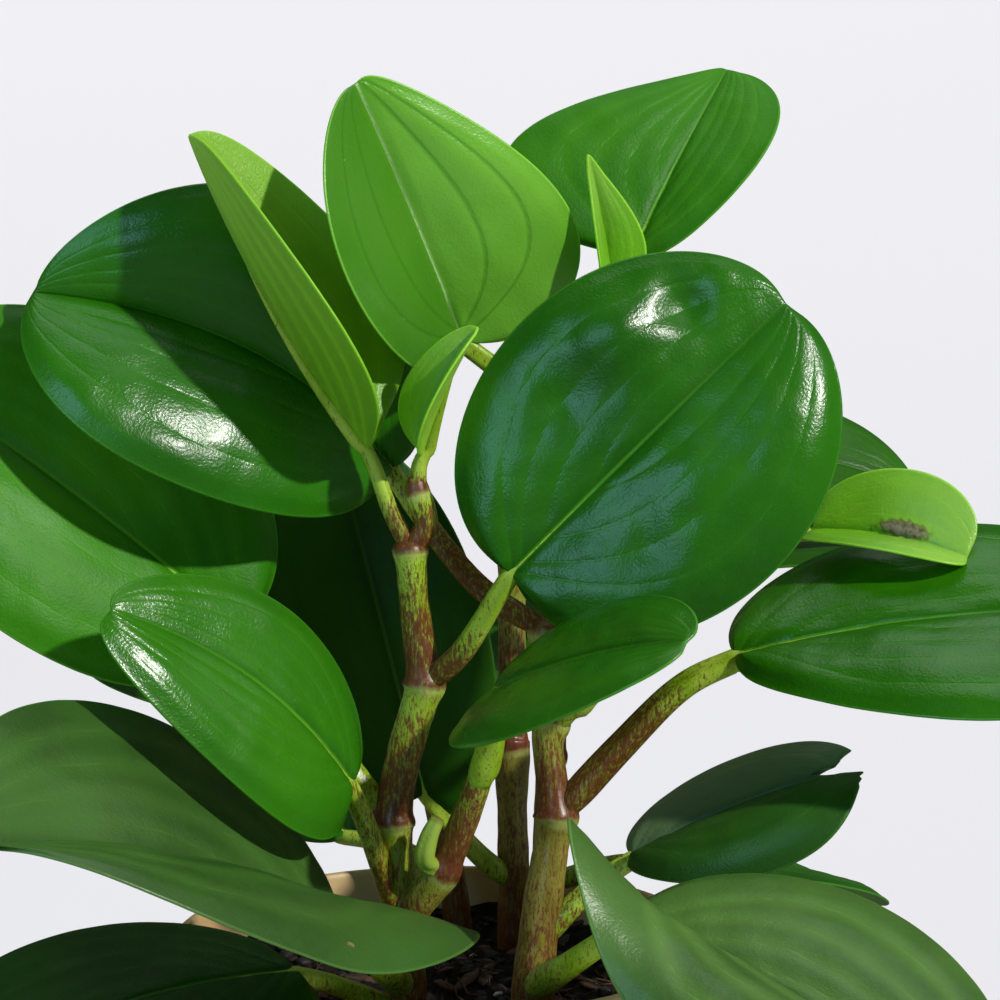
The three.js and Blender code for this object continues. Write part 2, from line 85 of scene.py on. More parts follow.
# Bits on the soil: crumbs are the draws up to the first share, chips those up to the second
BIT_COUNT = 330
BIT_REACH = 50
CRUMBS_UP_TO = 0.74
CHIPS_UP_TO = 0.97
STEM_CLEAR = 5.5
FIBRE_COUNT = 60
FIBRE_REACH = 46
FIBRE_STEP = 2.6
FIBRE_RADIUS = 0.16

# Leaf blades
FLARE_END = 0.4
NOTCH_SPREAD = 0.25
TEAR_MIDDLE = -1.2
TEAR_REACH = 4.5
THICK_MIDDLE = 1.0
THICK_EDGE = 0.5
RIM_SIDE = 0.45
RIM_END = 0.4
VEIN_BEND = 0.14
VEINS = [(0, 0.8), (0.04, 0.55), (0.13, 0.35), (0.3, 0.2)]

# Their mesh. The leaves at the back and the small ones have a plain one
ROWS = 110
COLUMNS = 30
FINE_COLUMNS = 52
PLAIN_ROWS = 56
PLAIN_COLUMNS = 15
SMALL_HALF = 16
BACK = ("leaf_back", "leaf_far", "leaf_behind")
NORMAL_STEP = 0.4
NOISE_WAVES = 5
FAR = 9.0

# Petioles and stems
PETIOLE_RADIUS = 2.0
YOUNG_PETIOLE_RADIUS = 1.5
PETIOLE_FOOT = 1.25
PETIOLE_END = 0.9
FOOT_PINCH = 0.28
KEEL_END = 0.62
PETIOLE_SIDES = 18
STEM_SIDES = 36

# How rust-brown each stem is at its foot and its top, and how much older it looks than the main stem
STEM_LOOK = {"main_stem": ((1.2, 1.45), 0.0), "right_stem": ((1.1, 1.3), 0.35)}
DEFAULT_STEM_LOOK = ((1.3, 1.1), 0.6)

# Each stem's branches: the points that the middle of each runs through, with its radius there. The main
# stem's second branch is the shoot at its top, and its third is the side shoot with the bud
STEMS = {
    "main_stem": [
        [[-6, -28, 72, 4], [-6.2, -28, 93, 4], [-7, -29, 110, 3.8], [-8.5, -30, 127, 3.7],
         [-8.8, -30, 131, 4.5], [-8.4, -30, 135, 3.6], [-6.2, -31, 145.5, 3.4], [-3.4, -32, 155, 3.4],
         [-2.5, -32, 158.5, 4.3], [-2.9, -32, 162.5, 3.2], [-4.2, -32, 173, 2.9], [-4.8, -33, 181.5, 2.9],
         [-5, -33, 184.6, 3.4], [-5, -33, 186.5, 2.4]],
        [[-5, -33, 184.6, 2.2], [-2, -33.5, 189.5, 2.3], [-3.6, -33.5, 195.8, 2.4],
         [-3.6, -33.5, 198.5, 1.6]],
        [[-7, -29, 106, 2.4], [-4.2, -32.5, 115, 3.1], [0.9, -35, 122.6, 3.7], [2.6, -35.8, 126.5, 2.9],
         [6.2, -38, 136, 2.7], [8.2, -39.5, 142, 2.4]],
    ],
    "right_stem": [
        [[18.5, -24, 72, 4.2], [18.3, -24, 92.6, 4.2], [20, -22.5, 110, 3.9], [22.4, -20.5, 126, 3.6],
         [23, -20, 129.5, 4.6], [22.6, -19.6, 133.5, 3.4], [21.4, -18, 143.5, 3.1], [22.2, -17, 148, 3.8],
         [22, -16.2, 152, 3], [21.4, -14.4, 161.5, 3], [21.2, -14, 165.3, 3.8], [22.2, -12.6, 170, 2.8],
         [25.8, -6, 194, 2.6], [28.2, -3, 207, 3.1], [32, 0, 223.6, 2.3], [33, 1, 229, 2.5]],
    ],
    "back_stem": [
        [[14.6, 24, 72, 3.6], [15, 25, 97, 3.5], [14.6, 24, 120, 3.2], [14.5, 23, 134, 3.9],
         [14.6, 23, 139, 3.1], [14.5, 22, 167, 2.9], [15, 22, 176, 3.6], [16, 22, 182, 2.7],
         [20, 24, 205, 2.4], [21, 25, 214, 2.8]],
    ],
    "back_left_stem": [
        [[3, 36, 72, 3], [2.5, 36, 96, 3], [-4, 37, 130, 2.8], [-6, 38, 136, 3.4], [-9, 38, 143, 2.7],
         [-15, 39, 165, 2.6], [-18, 39, 173, 3.2], [-20, 39, 180, 2.4], [-26, 39, 202, 2.2]],
    ],
    "back_right_stem": [
        [[21, 33, 72, 3.2], [21.5, 34, 96, 3.2], [22.5, 38, 122, 2.9], [23, 39, 128, 3.6],
         [23.5, 39, 134, 2.8], [26, 40, 160, 2.7], [28, 40, 168, 3.3], [31, 40, 175, 2.5],
         [38, 42, 196, 2.3]],
    ],
}

# The bud that rides on the main stem's side shoot
BUD = [[0.9, -35, 122.6, 1.8], [-2.2, -38.5, 125.5, 2.0], [-1.6, -39, 130, 1.8], [0.2, -39, 134, 1.1]]

# What a leaf has where its own lines say nothing else. Pairs are for the left and the right half of the
# blade, and side to stalk mean what they mean in the part's own source. The others are:
# look, one of LOOKS, and rust, how brown the petiole is at its foot and at the blade
# turn, where along the petiole the one brown changes into the other
# roll, how far each margin rolls back
# quilt and pillow, how far the face swells between side veins and in the middle of each half
# dimples and scars, each with its place along and across, then radius and height, or length and width
# veins, where along the blade each starts and the share of the half width it reaches
# fine, a denser mesh, and ridged, a midrib that stands up
USUAL = dict(
    side=0, taper=[0, 0], fold=[8, 8], cup=[0, 0], lobe=[2, 2], spread=0.5, flare=[0, 0], notch=1,
    full=0.9, young=False, stalk=None, look="dull", rust=(0.6, 0.2), turn=0.5, roll=(0.5, 0.5),
    quilt=0.08, pillow=0.6, dimples=[], scars=[], veins=VEINS, fine=False, ridged=False,
)
LEAVES = []


def leaf(name, petiole, tip, face, half, arch, **own):
    """A leaf: the points of its petiole from its stem to the blade's base, the blade's tip, the way its
    upper face looks, its half widths, how far it bows up, and what is its own."""
    facts = dict(name="leaf_" + name, petiole=petiole, tip=tip, face=face, half=half, arch=arch)
    LEAVES.append(SimpleNamespace(**{**USUAL, **facts, **own}))


leaf("upper_left", [[21.2, -14, 165.3], [8, -13, 174], [-3, -10, 187], [-9.3, -8, 197]],
     [-75.3, -32, 233.2], [0.05, -0.85, 0.5], [33.5, 30], 9, side=5, taper=[0.1, 0.1], fold=[22, 42],
     cup=[-22, -30], lobe=[-2, 4], look="deep", rust=(1.1, 0.3), turn=0.75, roll=(1.3, 0.6), pillow=1,
     dimples=[(0.75, 0.4, 8, 0.8), (0.45, -0.5, 9, 0.7)], fine=True)
leaf("young_folded", [[-5, -33, 184.6], [-9, -33.5, 193], [-12.5, -33.5, 204]], [-44.8, -41, 262.6],
     [0.8, -0.3, 0.45], [24, 22], -3, taper=[-0.3, -0.35], fold=[44, 36], cup=[4, 8], lobe=[-3, -3],
     notch=0, young=True, look="young", rust=(0.9, 0))
leaf("top_centre", [[28.2, -3, 207], [18, -7, 212], [4.6, -12, 222]], [-15, -32, 272], [0.2, -0.92, 0.1],
     [28, 26], 2, taper=[0.15, -0.5], fold=[46, 10], cup=[0, -6], lobe=[3, 6], look="bright",
     rust=(0.5, 0.1), quilt=0.12, dimples=[(0.55, 0.5, 9, 1.2), (0.4, -0.5, 9, 0.8)], fine=True,
     ridged=True, veins=[(0, 0.78), (0.03, 0.42)])
leaf("shoot_tip", [[-3.6, -33.5, 195.8], [-3.4, -33.6, 199.5], [-2.7, -34, 203.4]], [7.9, -40, 227.3],
     [-0.8, -0.45, 0.35], [8, 9.5], 1, taper=[-0.3, -0.2], fold=[38, 34], cup=[8, 8], lobe=[0, 0], notch=0,
     young=True, look="tender", rust=(0.9, 0))
leaf("round_front", [[-2.5, -32, 158.5], [5, -37, 166], [14, -42, 181.5]], [65.2, -36, 231.4],
     [-0.05, -0.95, 0.25], [32, 34], 3, fold=[6, 8], cup=[-12, -16], lobe=[2, 3], notch=1.6, look="deep",
     rust=(1.1, 0), roll=(0.7, 2.2), quilt=0.1, pillow=1.2, dimples=[(0.63, -0.57, 7, 2.4),
     (0.81, -0.4, 4.8, -3.2), (0.42, -0.5, 6, -1.3), (0.5, 0.3, 7, 1), (0.3, 0.45, 5, -0.9),
     (0.72, 0.6, 9, 0.8)], fine=True)
leaf("top_right", [[33, 1, 229], [35, 3, 233], [38.5, 7, 238]], [59, 32, 274.6], [-0.1, -0.85, 0.5],
     [26, 16], 2, taper=[-0.75, 0.3], fold=[10, 14], lobe=[4, 0], notch=0.4, full=0.8, look="satin",
     rust=(0.4, 0.1))
leaf("young_curled", [[31.6, -0.3, 221.5], [32.6, -6, 226.5], [33.6, -10, 232]], [28.8, -18, 258.5],
     [0.5, -0.8, 0.1], [8, 6.5], -1.5, side=1.5, taper=[-0.7, -0.8], fold=[44, 30], cup=[6, 6],
     lobe=[0, 0], notch=0, young=True, look="tender", rust=(0.2, 0))
leaf("scarred", [[25.8, -6, 194], [45, -6, 185], [60, -10, 183], [73.3, -12, 185]], [101.5, -26, 182],
     [0, -0.6, 0.8], [14, 9.5], 2, taper=[0.1, 0], fold=[34, 30], lobe=[1, 1], full=0.6, young=True,
     look="tender", rust=(0.5, 0.1), scars=[(0.6, -0.13, 4.6, 1.5)])
leaf("far_right", [[36.6, 41.6, 191.5], [44, 44, 191], [50, 47, 192]], [102, 52, 184], [0, -0.5, 0.85],
     [17, 18], 5)
leaf("right_large", [[23, -20, 129.5], [35.5, -22, 144], [47, -25, 156.5], [57.3, -26, 163]],
     [134, -40, 174], [-0.1, -0.5, 0.86], [27, 27], 4, taper=[0, 0.35], fold=[4, 2], cup=[-4, -6],
     lobe=[3, 0], stalk=2.6, look="fresh", rust=(1.1, 0.1), turn=0.72, pillow=1.4)
leaf("front_small", [[8, -39.4, 141], [10, -42, 149], [10.9, -48, 160.5]], [44.2, -84, 176.5],
     [0.1, -0.6, 0.8], [15, 20], 2, taper=[0, -0.15], fold=[14, 2], cup=[-6, -10], lobe=[2, 7], stalk=2.6,
     look="fresh", rust=(0.1, 0))
leaf("middle", [[22.2, -17, 148], [24.5, -19, 149.5], [26.5, -20, 152]], [54.4, -34, 174.8],
     [-0.45, 0.15, 0.85], [13, 13], 2, lobe=[1, 1])
leaf("left_large", [[-8.8, -30, 131], [-22, -29, 148], [-38.5, -25, 168.4]], [-102.6, -34, 219.7],
     [0.1, -0.8, 0.6], [30.5, 33], 4, fold=[2, 8], cup=[-4, -4], lobe=[3, 3], look="satin",
     rust=(0.5, 0.1), pillow=1.8)
leaf("left_centre", [[-7.2, -29.4, 112], [-11, -34, 124], [-16, -40, 141]], [-57.5, -66, 179],
     [0.4, -0.7, 0.6], [20.5, 17], 4, side=3, taper=[-0.2, -0.1], fold=[4, 6], cup=[-6, 0], lobe=[3, 2],
     look="fresh", rust=(1, 0.5), roll=(1.2, 0.4))
leaf("left_front", [[-6.4, -28.3, 97.5], [-10.5, -38, 104.5], [-18.5, -44, 114.5]], [-78, -111, 147],
     [0.1, -0.15, 0.95], [38, 35], 5, fold=[28, 46], cup=[-65, -20], lobe=[21, 2], spread=0.8,
     flare=[9, 0], stalk=2.5, look="dusk", rust=(0.6, 0.1), scars=[(0.33, -0.88, 1, 0.8),
     (0.8, -0.9, 1.3, 0.8)])
leaf("low_left", [[-6, -28, 92], [-16, -36, 99], [-27, -45, 106]], [-90, -82, 94.5], [-0.1, -0.28, 0.9],
     [30, 31], 5, fold=[-4, 2], cup=[-10, -6], look="shade", rust=(0.6, 0.3))
leaf("torn", [[19.6, -22.8, 105], [28, -22.5, 114], [38, -23, 122.6]], [82, -29, 141.6], [-0.3, -0.5, 0.8],
     [13, 19.5], 2, taper=[0.05, 0.15], fold=[12, 42], cup=[-20, -90], notch=-10, look="torn",
     rust=(0.7, 0.3), quilt=0.3)
leaf("right_front", [[18.4, -24, 96], [24, -37, 104], [34.5, -47, 115]], [96.6, -96, 88], [0.2, -0.3, 0.9],
     [29, 35], 6, fold=[29, 56], cup=[-15, -110], lobe=[2, 12], spread=0.7, flare=[0, 28], stalk=2.6,
     look="pale", rust=(0.5, 0.1), quilt=0.35)
leaf("behind_left", [[-6, 38, 136], [-16, 30, 140], [-28, 24, 145]], [-74, 20, 156], [0, -0.5, 0.85],
     [20, 22], 4, look="shade", rust=(0.3, 0.1))
leaf("behind_stems", [[15, 25, 104], [7, 20, 112], [-3.6, 14, 126]], [-22, 20, 198], [0.1, -0.95, 0.1],
     [25, 21], 3, taper=[0.1, 0], fold=[6, 6], lobe=[2, 9], look="shade", rust=(0.3, 0.1))
leaf("back_low", [[14.5, 23, 134], [10, 34, 138], [6, 42, 140]], [0, 104, 150], [0, -0.15, 0.95], [18, 18],
     6)
leaf("back_left_high", [[-26, 39, 200], [-32, 43, 203], [-38, 47, 205]], [-84, 62, 222], [0.1, -0.3, 0.9],
     [25, 25], 5, fold=[6, 6])
leaf("back_left_middle", [[-18, 39, 173], [-22, 45, 177], [-27, 52, 180]], [-58, 112, 190],
     [-0.1, 0.3, 0.9], [30, 30], 7, lobe=[3, 3])
leaf("back_top", [[-23, 39, 191], [-19, 46, 202], [-18, 54, 211]], [-12, 100, 240], [0.1, -0.45, 0.9],
     [24, 24], 5)
leaf("back_right_high", [[37.6, 42, 195], [41, 52, 202], [45, 61, 204]], [66, 114, 204], [-0.1, 0.1, 0.95],
     [27, 27], 6)
leaf("back_right_middle", [[26.6, 40, 163], [28, 48, 164], [30, 56, 164]], [36, 124, 164], [0, 0.2, 0.95],
     [29, 29], 8, lobe=[3, 3])
leaf("back_right_side", [[28.4, 40, 169], [40, 43, 171], [54, 48, 169]], [122, 68, 158], [0, -0.1, 0.95],
     [28, 28], 7, lobe=[3, 3])
leaf("back_right_low", [[22, 35, 101], [38, 41, 104], [56, 48, 102.5]], [96, 86, 84], [0.3, 0.2, 0.9],
     [20, 20], 3, fold=[2, 2])
leaf("back_left_low", [[2, 36, 102], [-10, 42, 107], [-22, 48, 109]], [-78, 90, 104], [-0.2, 0.1, 0.95],
     [30, 30], 8, lobe=[3, 3])
leaf("back_centre_high", [[30, -1.5, 215], [33, 6, 217], [35, 14, 217]], [44, 72, 226], [-0.1, -0.2, 0.95],
     [23, 23], 5)


def rgb(red, green, blue):
    """A colour given as 0 to 255 screen values, in the linear form that the shaders take."""
    linear = [((c / 255 + 0.055) / 1.055) ** 2.4 if c > 10 else c / 255 / 12.92
              for c in (red, green, blue)]
    return (*linear, 1.0)


def leaf_look(dark, light, under, rough, streak, **own):
    """A leaf's dark and light green, its underside, its roughness and how much side veins lighten it. Some
    also have shine (weaker than usual), fade (how pale the tip is), through (how much light goes
    through), line (the colour of dark side veins) and left (painted shade or painted light put on the left
    half)."""
    return dict(dark=rgb(*dark), light=rgb(*light), under=rgb(*under), rough=rough, streak=streak, **own)


LOOKS = {
    "deep": leaf_look((20, 80, 2), (42, 114, 4), (70, 116, 42), 0.29, 0.08),
    "shade": leaf_look((18, 54, 2), (34, 82, 4), (50, 90, 30), 0.42, 0.1, shine=0.15),
    "fresh": leaf_look((28, 94, 0), (52, 122, 4), (84, 140, 46), 0.28, 0.12),
    "satin": leaf_look((34, 106, 0), (62, 134, 6), (84, 140, 46), 0.46, 0.16, shine=0.2),
    # bright: the young leaf's own light greens, raised further as painted light, with its left colour as
    # painted shade on the left half.
    "bright": leaf_look((76, 146, 16), (118, 184, 56), (96, 150, 54), 0.3, 0.06, line=rgb(56, 122, 12),
                        left=rgb(38, 104, 8)),
    "dull": leaf_look((26, 76, 6), (48, 110, 14), (70, 106, 46), 0.38, 0.2, shine=0.32),
    # dusk and pale: dull greens whose grey cast and pale vein streaks are partly the leaves' own and partly
    # a painted reflection of the pale surroundings.
    "dusk": leaf_look((36, 68, 20), (62, 104, 38), (80, 114, 54), 0.36, 0.22),
    "pale": leaf_look((52, 90, 32), (88, 128, 56), (90, 124, 60), 0.38, 0.35),
    # torn: its left colour is painted light on the left half, which lies in shadow.
    "torn": leaf_look((24, 62, 10), (42, 90, 24), (70, 106, 46), 0.36, 0.3, shine=0.25,
                      left=rgb(104, 124, 88)),
    "young": leaf_look((76, 136, 0), (122, 178, 16), (106, 160, 20), 0.34, 0.12, fade=0.2, through=0.25),
    "tender": leaf_look((82, 150, 10), (128, 192, 40), (120, 172, 30), 0.34, 0.12, fade=0.3, through=0.25),
    "bud": leaf_look((112, 144, 30), (160, 184, 76), (140, 166, 56), 0.4, 0, shine=0.3),
}

# A pale floor that curves up into a wall all round. The wall in front of the plant is only for the views
# from behind: it neither lights the plant nor shades it
STAGE_FLOOR = 1.5
STAGE_CURVE = 1.6
STAGE_TOP = 4.0
STAGE_STEPS = 72
PAPER_GLOW = (0.47, 0.62)


def unit(v):
    return v / np.linalg.norm(v)


def hump(v, width):
    """1 where v is 0, falling off to both sides within about a width."""
    return np.exp(-((v / width) ** 2))


def held(v):
    """v, kept between 0 and 1."""
    return np.clip(v, 0, 1)


def blade_frame(leaf):
    """The blade's base and length, and its directions along, across to the right and out of its face."""
    base = np.array(leaf.petiole[-1], float)
    chord = np.array(leaf.tip, float) - base
    along = unit(chord)
    out = np.array(leaf.face, float)
    out = unit(out - along * out.dot(along))
    return SimpleNamespace(base=base, length=np.linalg.norm(chord), along=along, out=out,
                           across=np.cross(along, out))


def half_arc(width, fold, cup, t):
    """How far a half blade reaches out and up at shares t of its width, bent on an arc."""
    first = math.radians(fold)
    reach = width * t
    if cup == 0:
        return reach * math.cos(first), reach * math.sin(first)
    turn = np.where(t > 0, math.radians(cup) * t, 1e-9)
    radius = reach / turn
    last = first + turn
    return radius * (np.sin(last) - math.sin(first)), radius * (math.cos(first) - np.cos(last))


def blade_point(leaf, place, x, y, rise=0.0):
    """Points of the blade's middle face at x along and y across, raised off it by rise."""
    s = x / place.length
    across = np.zeros_like(x)
    up = np.zeros_like(x)
    for side, here in ((0, y < 0), (1, y >= 0)):
        t = np.abs(y) / leaf.half[side]
        reach, lift = half_arc(leaf.half[side], leaf.fold[side], leaf.cup[side], t)
        flare = leaf.flare[side] * t * np.maximum(0, 1 - s / FLARE_END) ** 2
        across = np.where(here, reach if side else -reach, across)
        up = np.where(here, lift + flare, up)
    bow = 4 * s * (1 - s)
    across = across + leaf.side * bow
    up = up + leaf.arch * bow + rise
    return (place.base + x[..., None] * place.along + across[..., None] * place.across
            + up[..., None] * place.out)


def dent(angle, at):
    return angle / at * np.exp(1 - angle / at)


def outline(leaf, place, angle):
    """The blade's outline at angles round its middle: 0 is the tip and half a turn is the base."""
    from_tip = np.abs(angle)
    from_base = math.pi - from_tip
    x = place.length * (0.5 + 0.5 * np.cos(angle)) + max(leaf.notch, 0) * dent(from_tip, NOTCH_SPREAD)
    y = np.zeros_like(x)
    for side, sign, here in ((0, -1, angle < 0), (1, 1, angle >= 0)):
        full = np.maximum(np.sin(from_tip), 0) ** leaf.full
        wide = sign * leaf.half[side] * full * (1 + leaf.taper[side] * np.cos(angle))
        y = np.where(here, wide, y)
        x = np.where(here, x - leaf.lobe[side] * dent(from_base, leaf.spread), x)
    return x, y


def tear(leaf, place, x, y):
    """Pulls the apex of a torn blade back along a ragged cut."""
    depth = -min(leaf.notch, 0)
    if depth == 0:
        return x
    cut = place.length - depth + depth * held(np.abs(y - TEAR_MIDDLE) / TEAR_REACH) ** 0.7
    ragged = 0.9 * np.sin(2.3 * y + 1.0) + 0.5 * np.sin(5.1 * y)
    return np.where(np.abs(y) < TEAR_REACH * 1.6, np.minimum(x, cut + ragged), x)


def smooth_noise(x, y, seed, wave):
    """A soft, even surface of hills about wave millimetres apart, from -1 to 1."""
    source = random.Random(seed)
    total = np.zeros_like(x)
    for _ in range(NOISE_WAVES):
        turn = source.uniform(0, FULL_TURN)
        pitch = FULL_TURN / (wave * source.uniform(0.7, 1.5))
        shift = source.uniform(0, FULL_TURN)
        total += np.sin(pitch * (x * math.cos(turn) + y * math.sin(turn)) + shift)
    return total / NOISE_WAVES


def vein_distance(leaf, s, v, width):
    """How far each point is from the nearest side vein."""
    s = held(s)
    nearest = np.full_like(s, np.inf)
    for start, reach in leaf.veins:
        path = reach * (1 - np.exp(-np.maximum(s - start, 0) / VEIN_BEND)) * (1 - 0.25 * s**3)
        far = np.abs(np.abs(v) - path) * width + np.where(s < start, 50 * (start - s), 0)
        nearest = np.minimum(nearest, far)
    return nearest


def away_from(leaf, place, x, y, at, across):
    """How far points are along and across from a place on the blade."""
    return x - at * place.length, y - across * leaf.half[int(across > 0)]


def scar_distance(leaf, place, x, y):
    """How far points are from the middle of the nearest scar, with 1 at its ragged edge."""
    nearest = np.full_like(x, FAR)
    ragged = 1 + 0.25 * np.sin(3 * x) * np.sin(2.1 * y + 1)
    for at, across, long, wide in leaf.scars:
        along, aside = away_from(leaf, place, x, y, at, across)
        nearest = np.minimum(nearest, np.hypot(along / long, aside / wide) * ragged)
    return nearest


def blade_grid(leaf, place, rows, columns):
    """The grid of a flat blade: x along, y across, s and v as shares of the length and the half width, and
    how far each point is from the margin, the nearest side vein and the nearest scar."""
    theta = np.linspace(math.pi, 0, rows + 1)
    j = np.linspace(0, 1, columns + 1)
    half = 0.5 * j + 0.5 * j**2 * (3 - 2 * j)
    v = np.concatenate([-half[:0:-1], half])
    middle = (0.5 + 0.5 * np.cos(theta)) * (place.length + min(leaf.notch, 0))
    x = np.zeros((rows + 1, len(v)))
    y = np.zeros_like(x)
    for side, here in ((-1, v < 0), (1, v >= 0)):
        edge_x, edge_y = outline(leaf, place, side * np.maximum(theta, 1e-7))
        share = np.abs(v[here])
        x[:, here] = middle[:, None] + (edge_x - middle)[:, None] * share[None, :] ** 1.3
        y[:, here] = edge_y[:, None] * share[None, :]
    x = tear(leaf, place, x, y)
    v = np.broadcast_to(v, x.shape)
    s = x / place.length
    width = np.abs(y) / np.maximum(np.abs(v), 1e-3)
    margin = (1 - np.abs(v)) * width
    fade = held((0.97 - s) / 0.15) * held(margin / 3)
    vein = vein_distance(leaf, s, v, width)
    scar = scar_distance(leaf, place, x, y)
    return SimpleNamespace(x=x, y=y, s=s, v=v, margin=margin, vein=vein, scar=scar, fade=fade)


def blade_swell(leaf, place, grid, strength, seed):
    """How far the blade's middle face stands off its plain form."""
    x, y, margin, fade = grid.x, grid.y, grid.margin, grid.fade
    waves = 0.55 * smooth_noise(x, y, seed, 26) + 0.16 * smooth_noise(x, y, seed + 1, 8)
    quilt = leaf.quilt * (1 - hump(grid.vein, 2.6)) * fade
    pillow = leaf.pillow * np.sin(np.pi * np.abs(grid.v)) * fade
    swell = strength * (waves * np.clip(margin / 4, 0.25, 1) + pillow + quilt)
    swell -= np.where(y < 0, *leaf.roll) * np.exp(-((margin / 3.2) ** 1.5))
    for at, across, radius, height in leaf.dimples:
        swell += height * hump(np.hypot(*away_from(leaf, place, x, y, at, across)), radius)
    return swell * held(np.abs(y) / 2.5)


def blade_points(leaf, place, grid, seed):
    """The upper and lower face of a thick blade with midrib and veins, and its rounded margin."""
    x, y, s = grid.x, grid.y, grid.s
    strength = 0.5 if leaf.young else 1.0
    middle = blade_point(leaf, place, x, y, blade_swell(leaf, place, grid, strength, seed))
    step = NORMAL_STEP
    ahead = blade_point(leaf, place, x + step, y) - blade_point(leaf, place, x - step, y)
    more = np.where(np.abs(y) < step, step, 0)
    aside = blade_point(leaf, place, x, y + step + more) - blade_point(leaf, place, x, y - step - more)
    normal = np.cross(aside, ahead)
    normal /= np.linalg.norm(normal, axis=-1, keepdims=True)
    thick = THICK_EDGE + (THICK_MIDDLE - THICK_EDGE) * (1 - np.exp(-grid.margin / 2.5))
    groove = strength * (0.4 * hump(y, 0.6) - 0.16 * hump(np.abs(y) - 1.7, 1.0))
    if leaf.ridged:
        beads = 1 + 0.35 * np.sin(FULL_TURN * x / 2.3)
        ridge = -0.3 * beads * hump(y, 0.55)
        groove += held((s - 0.12) / 0.1) * (ridge - groove)
    groove *= held(1.05 - s) * held(s / 0.03 + 0.5)
    side_vein = strength * 0.1 * hump(grid.vein, 0.7) * grid.fade
    crust = 0.7 * np.sqrt(held(1.3 - grid.scar)) * (1 + 0.5 * smooth_noise(x, y, seed + 2, 1.6))
    upper = middle + normal * (thick / 2 + crust - (groove + side_vein))[..., None]
    lower = middle - normal * (thick / 2 + 0.5 * side_vein)[..., None]
    outward = middle[:, [-1, 0]] - middle[:, [-2, 1]]
    outward /= np.maximum(np.linalg.norm(outward, axis=-1, keepdims=True), 1e-9)
    outward[[0, -1]] = 0
    rim = middle[:, [-1, 0]] + outward * THICK_EDGE * RIM_SIDE
    rim[0] = middle[0, 0] - place.along * THICK_EDGE * RIM_END
    rim[-1] = middle[-1, 0] + place.along * THICK_EDGE * RIM_END
    return upper, lower, rim


class Builder:
    """Collects points with their marks, and faces with their material slot, for one object."""

    REST = {"mid": FAR, "vein": FAR, "edge": FAR, "along": 0.0, "left": 0.0, "face": 1.0, "scar": FAR,
            "rust": 0.0, "age": 0.0, "ring": 0.0}

    def __init__(self):
        self.points = []
        self.marks = {mark: [] for mark in self.REST}
        self.faces = []
        self.slots = []

    def add(self, points, **marks):
        """Adds points, with one value or one each for every mark, and returns their indices."""
        points = np.asarray(points, float)
        index = len(self.points) + np.arange(points.size // 3).reshape(points.shape[:-1])
        self.points.extend(points.reshape(-1, 3).tolist())
        for mark, rest in self.REST.items():
            values = np.asarray(marks.get(mark, rest), float).reshape(-1)
            self.marks[mark].extend(np.broadcast_to(values, index.size).tolist())
        return index[()]

    def face(self, corners, slot=0):
        """Adds a face, unless too few of its corners are different ones."""
        ring = [c for i, c in enumerate(corners) if c != corners[i - 1]]
        if len(set(ring)) >= 3:
            self.faces.append(ring)
            self.slots.append(slot)

    def grid(self, rows, slot=0):
        """Adds the faces between rows of point indices."""
        for low, high in zip(rows, rows[1:]):
            for k in range(len(low) - 1):
                self.face([low[k], low[k + 1], high[k + 1], high[k]], slot)

    def object(self, name, materials):
        mesh = bpy.data.meshes.new(name)
        mesh.from_pydata((np.array(self.points) * MM).tolist(), [], self.faces)
        for material in materials:
            mesh.materials.append(material)
        mesh.polygons.foreach_set("material_index", self.slots)
        for mark, values in self.marks.items():
            mesh.attributes.new(mark, "FLOAT", "POINT").data.foreach_set("value", values)
        shape = bmesh.new()
        shape.from_mesh(mesh)
        loose = [v for v in shape.verts if not v.link_faces]
        bmesh.ops.delete(shape, geom=loose, context="VERTS")
        bmesh.ops.recalc_face_normals(shape, faces=shape.faces)
        shape.to_mesh(mesh)
        shape.free()
        return smooth_object(name, mesh)


def new_object(name, data):
    thing = bpy.data.objects.new(name, data)
    bpy.context.scene.collection.objects.link(thing)
    return thing


def smooth_object(name, mesh):
    mesh.polygons.foreach_set("use_smooth", [True] * len(mesh.polygons))
    return new_object(name, mesh)


def add_blade(build, leaf, place, rows, columns, seed):
    """The blade, with its grid drawn together to one point at the base and one at the tip."""
    grid = blade_grid(leaf, place, rows, columns)
    upper, lower, rim = blade_points(leaf, place, grid, seed)
    marks = dict(mid=np.abs(grid.y), vein=grid.vein, edge=grid.margin, along=grid.s, left=grid.y < 0)
    upper = build.add(upper, face=1.0, scar=grid.scar, **marks)
    lower = build.add(lower, face=0.0, **marks)
    rim = build.add(rim, face=0.5, edge=0.0)
    for end in (0, -1):
        upper[end] = upper[end, columns]
        lower[end] = lower[end, columns]
        rim[end] = rim[end, 0]
    build.grid(upper.T)
    build.grid(lower)
    for j, k in ((-1, 0), (0, 1)):
        build.grid([upper[:, j], rim[:, k], lower[:, j]])


def catmull(points, step):
    """A smooth line through the points, sampled about every step millimetres, with each value carried."""
    points = np.array(points, float)
    padded = np.vstack([2 * points[0] - points[1], points, 2 * points[-1] - points[-2]])
    line = []
    for i in range(1, len(padded) - 2):
        p0, p1, p2, p3 = padded[i - 1:i + 3]
        count = max(2, int(np.linalg.norm((p2 - p1)[:3]) / step))
        for u in np.arange(count) / count:
            line.append(0.5 * (2 * p1 + (p2 - p0) * u + (2 * p0 - 5 * p1 + 4 * p2 - p3) * u**2
                               + (3 * p1 - p0 - 3 * p2 + p3) * u**3))
    line.append(padded[-2])
    return np.array(line)


def round_turns(sides):
    return np.linspace(0, FULL_TURN, sides, endpoint=False)


def closed(rings):
    """Rings of point indices, each ending where it starts."""
    return np.column_stack([rings, np.array(rings)[:, 0]])


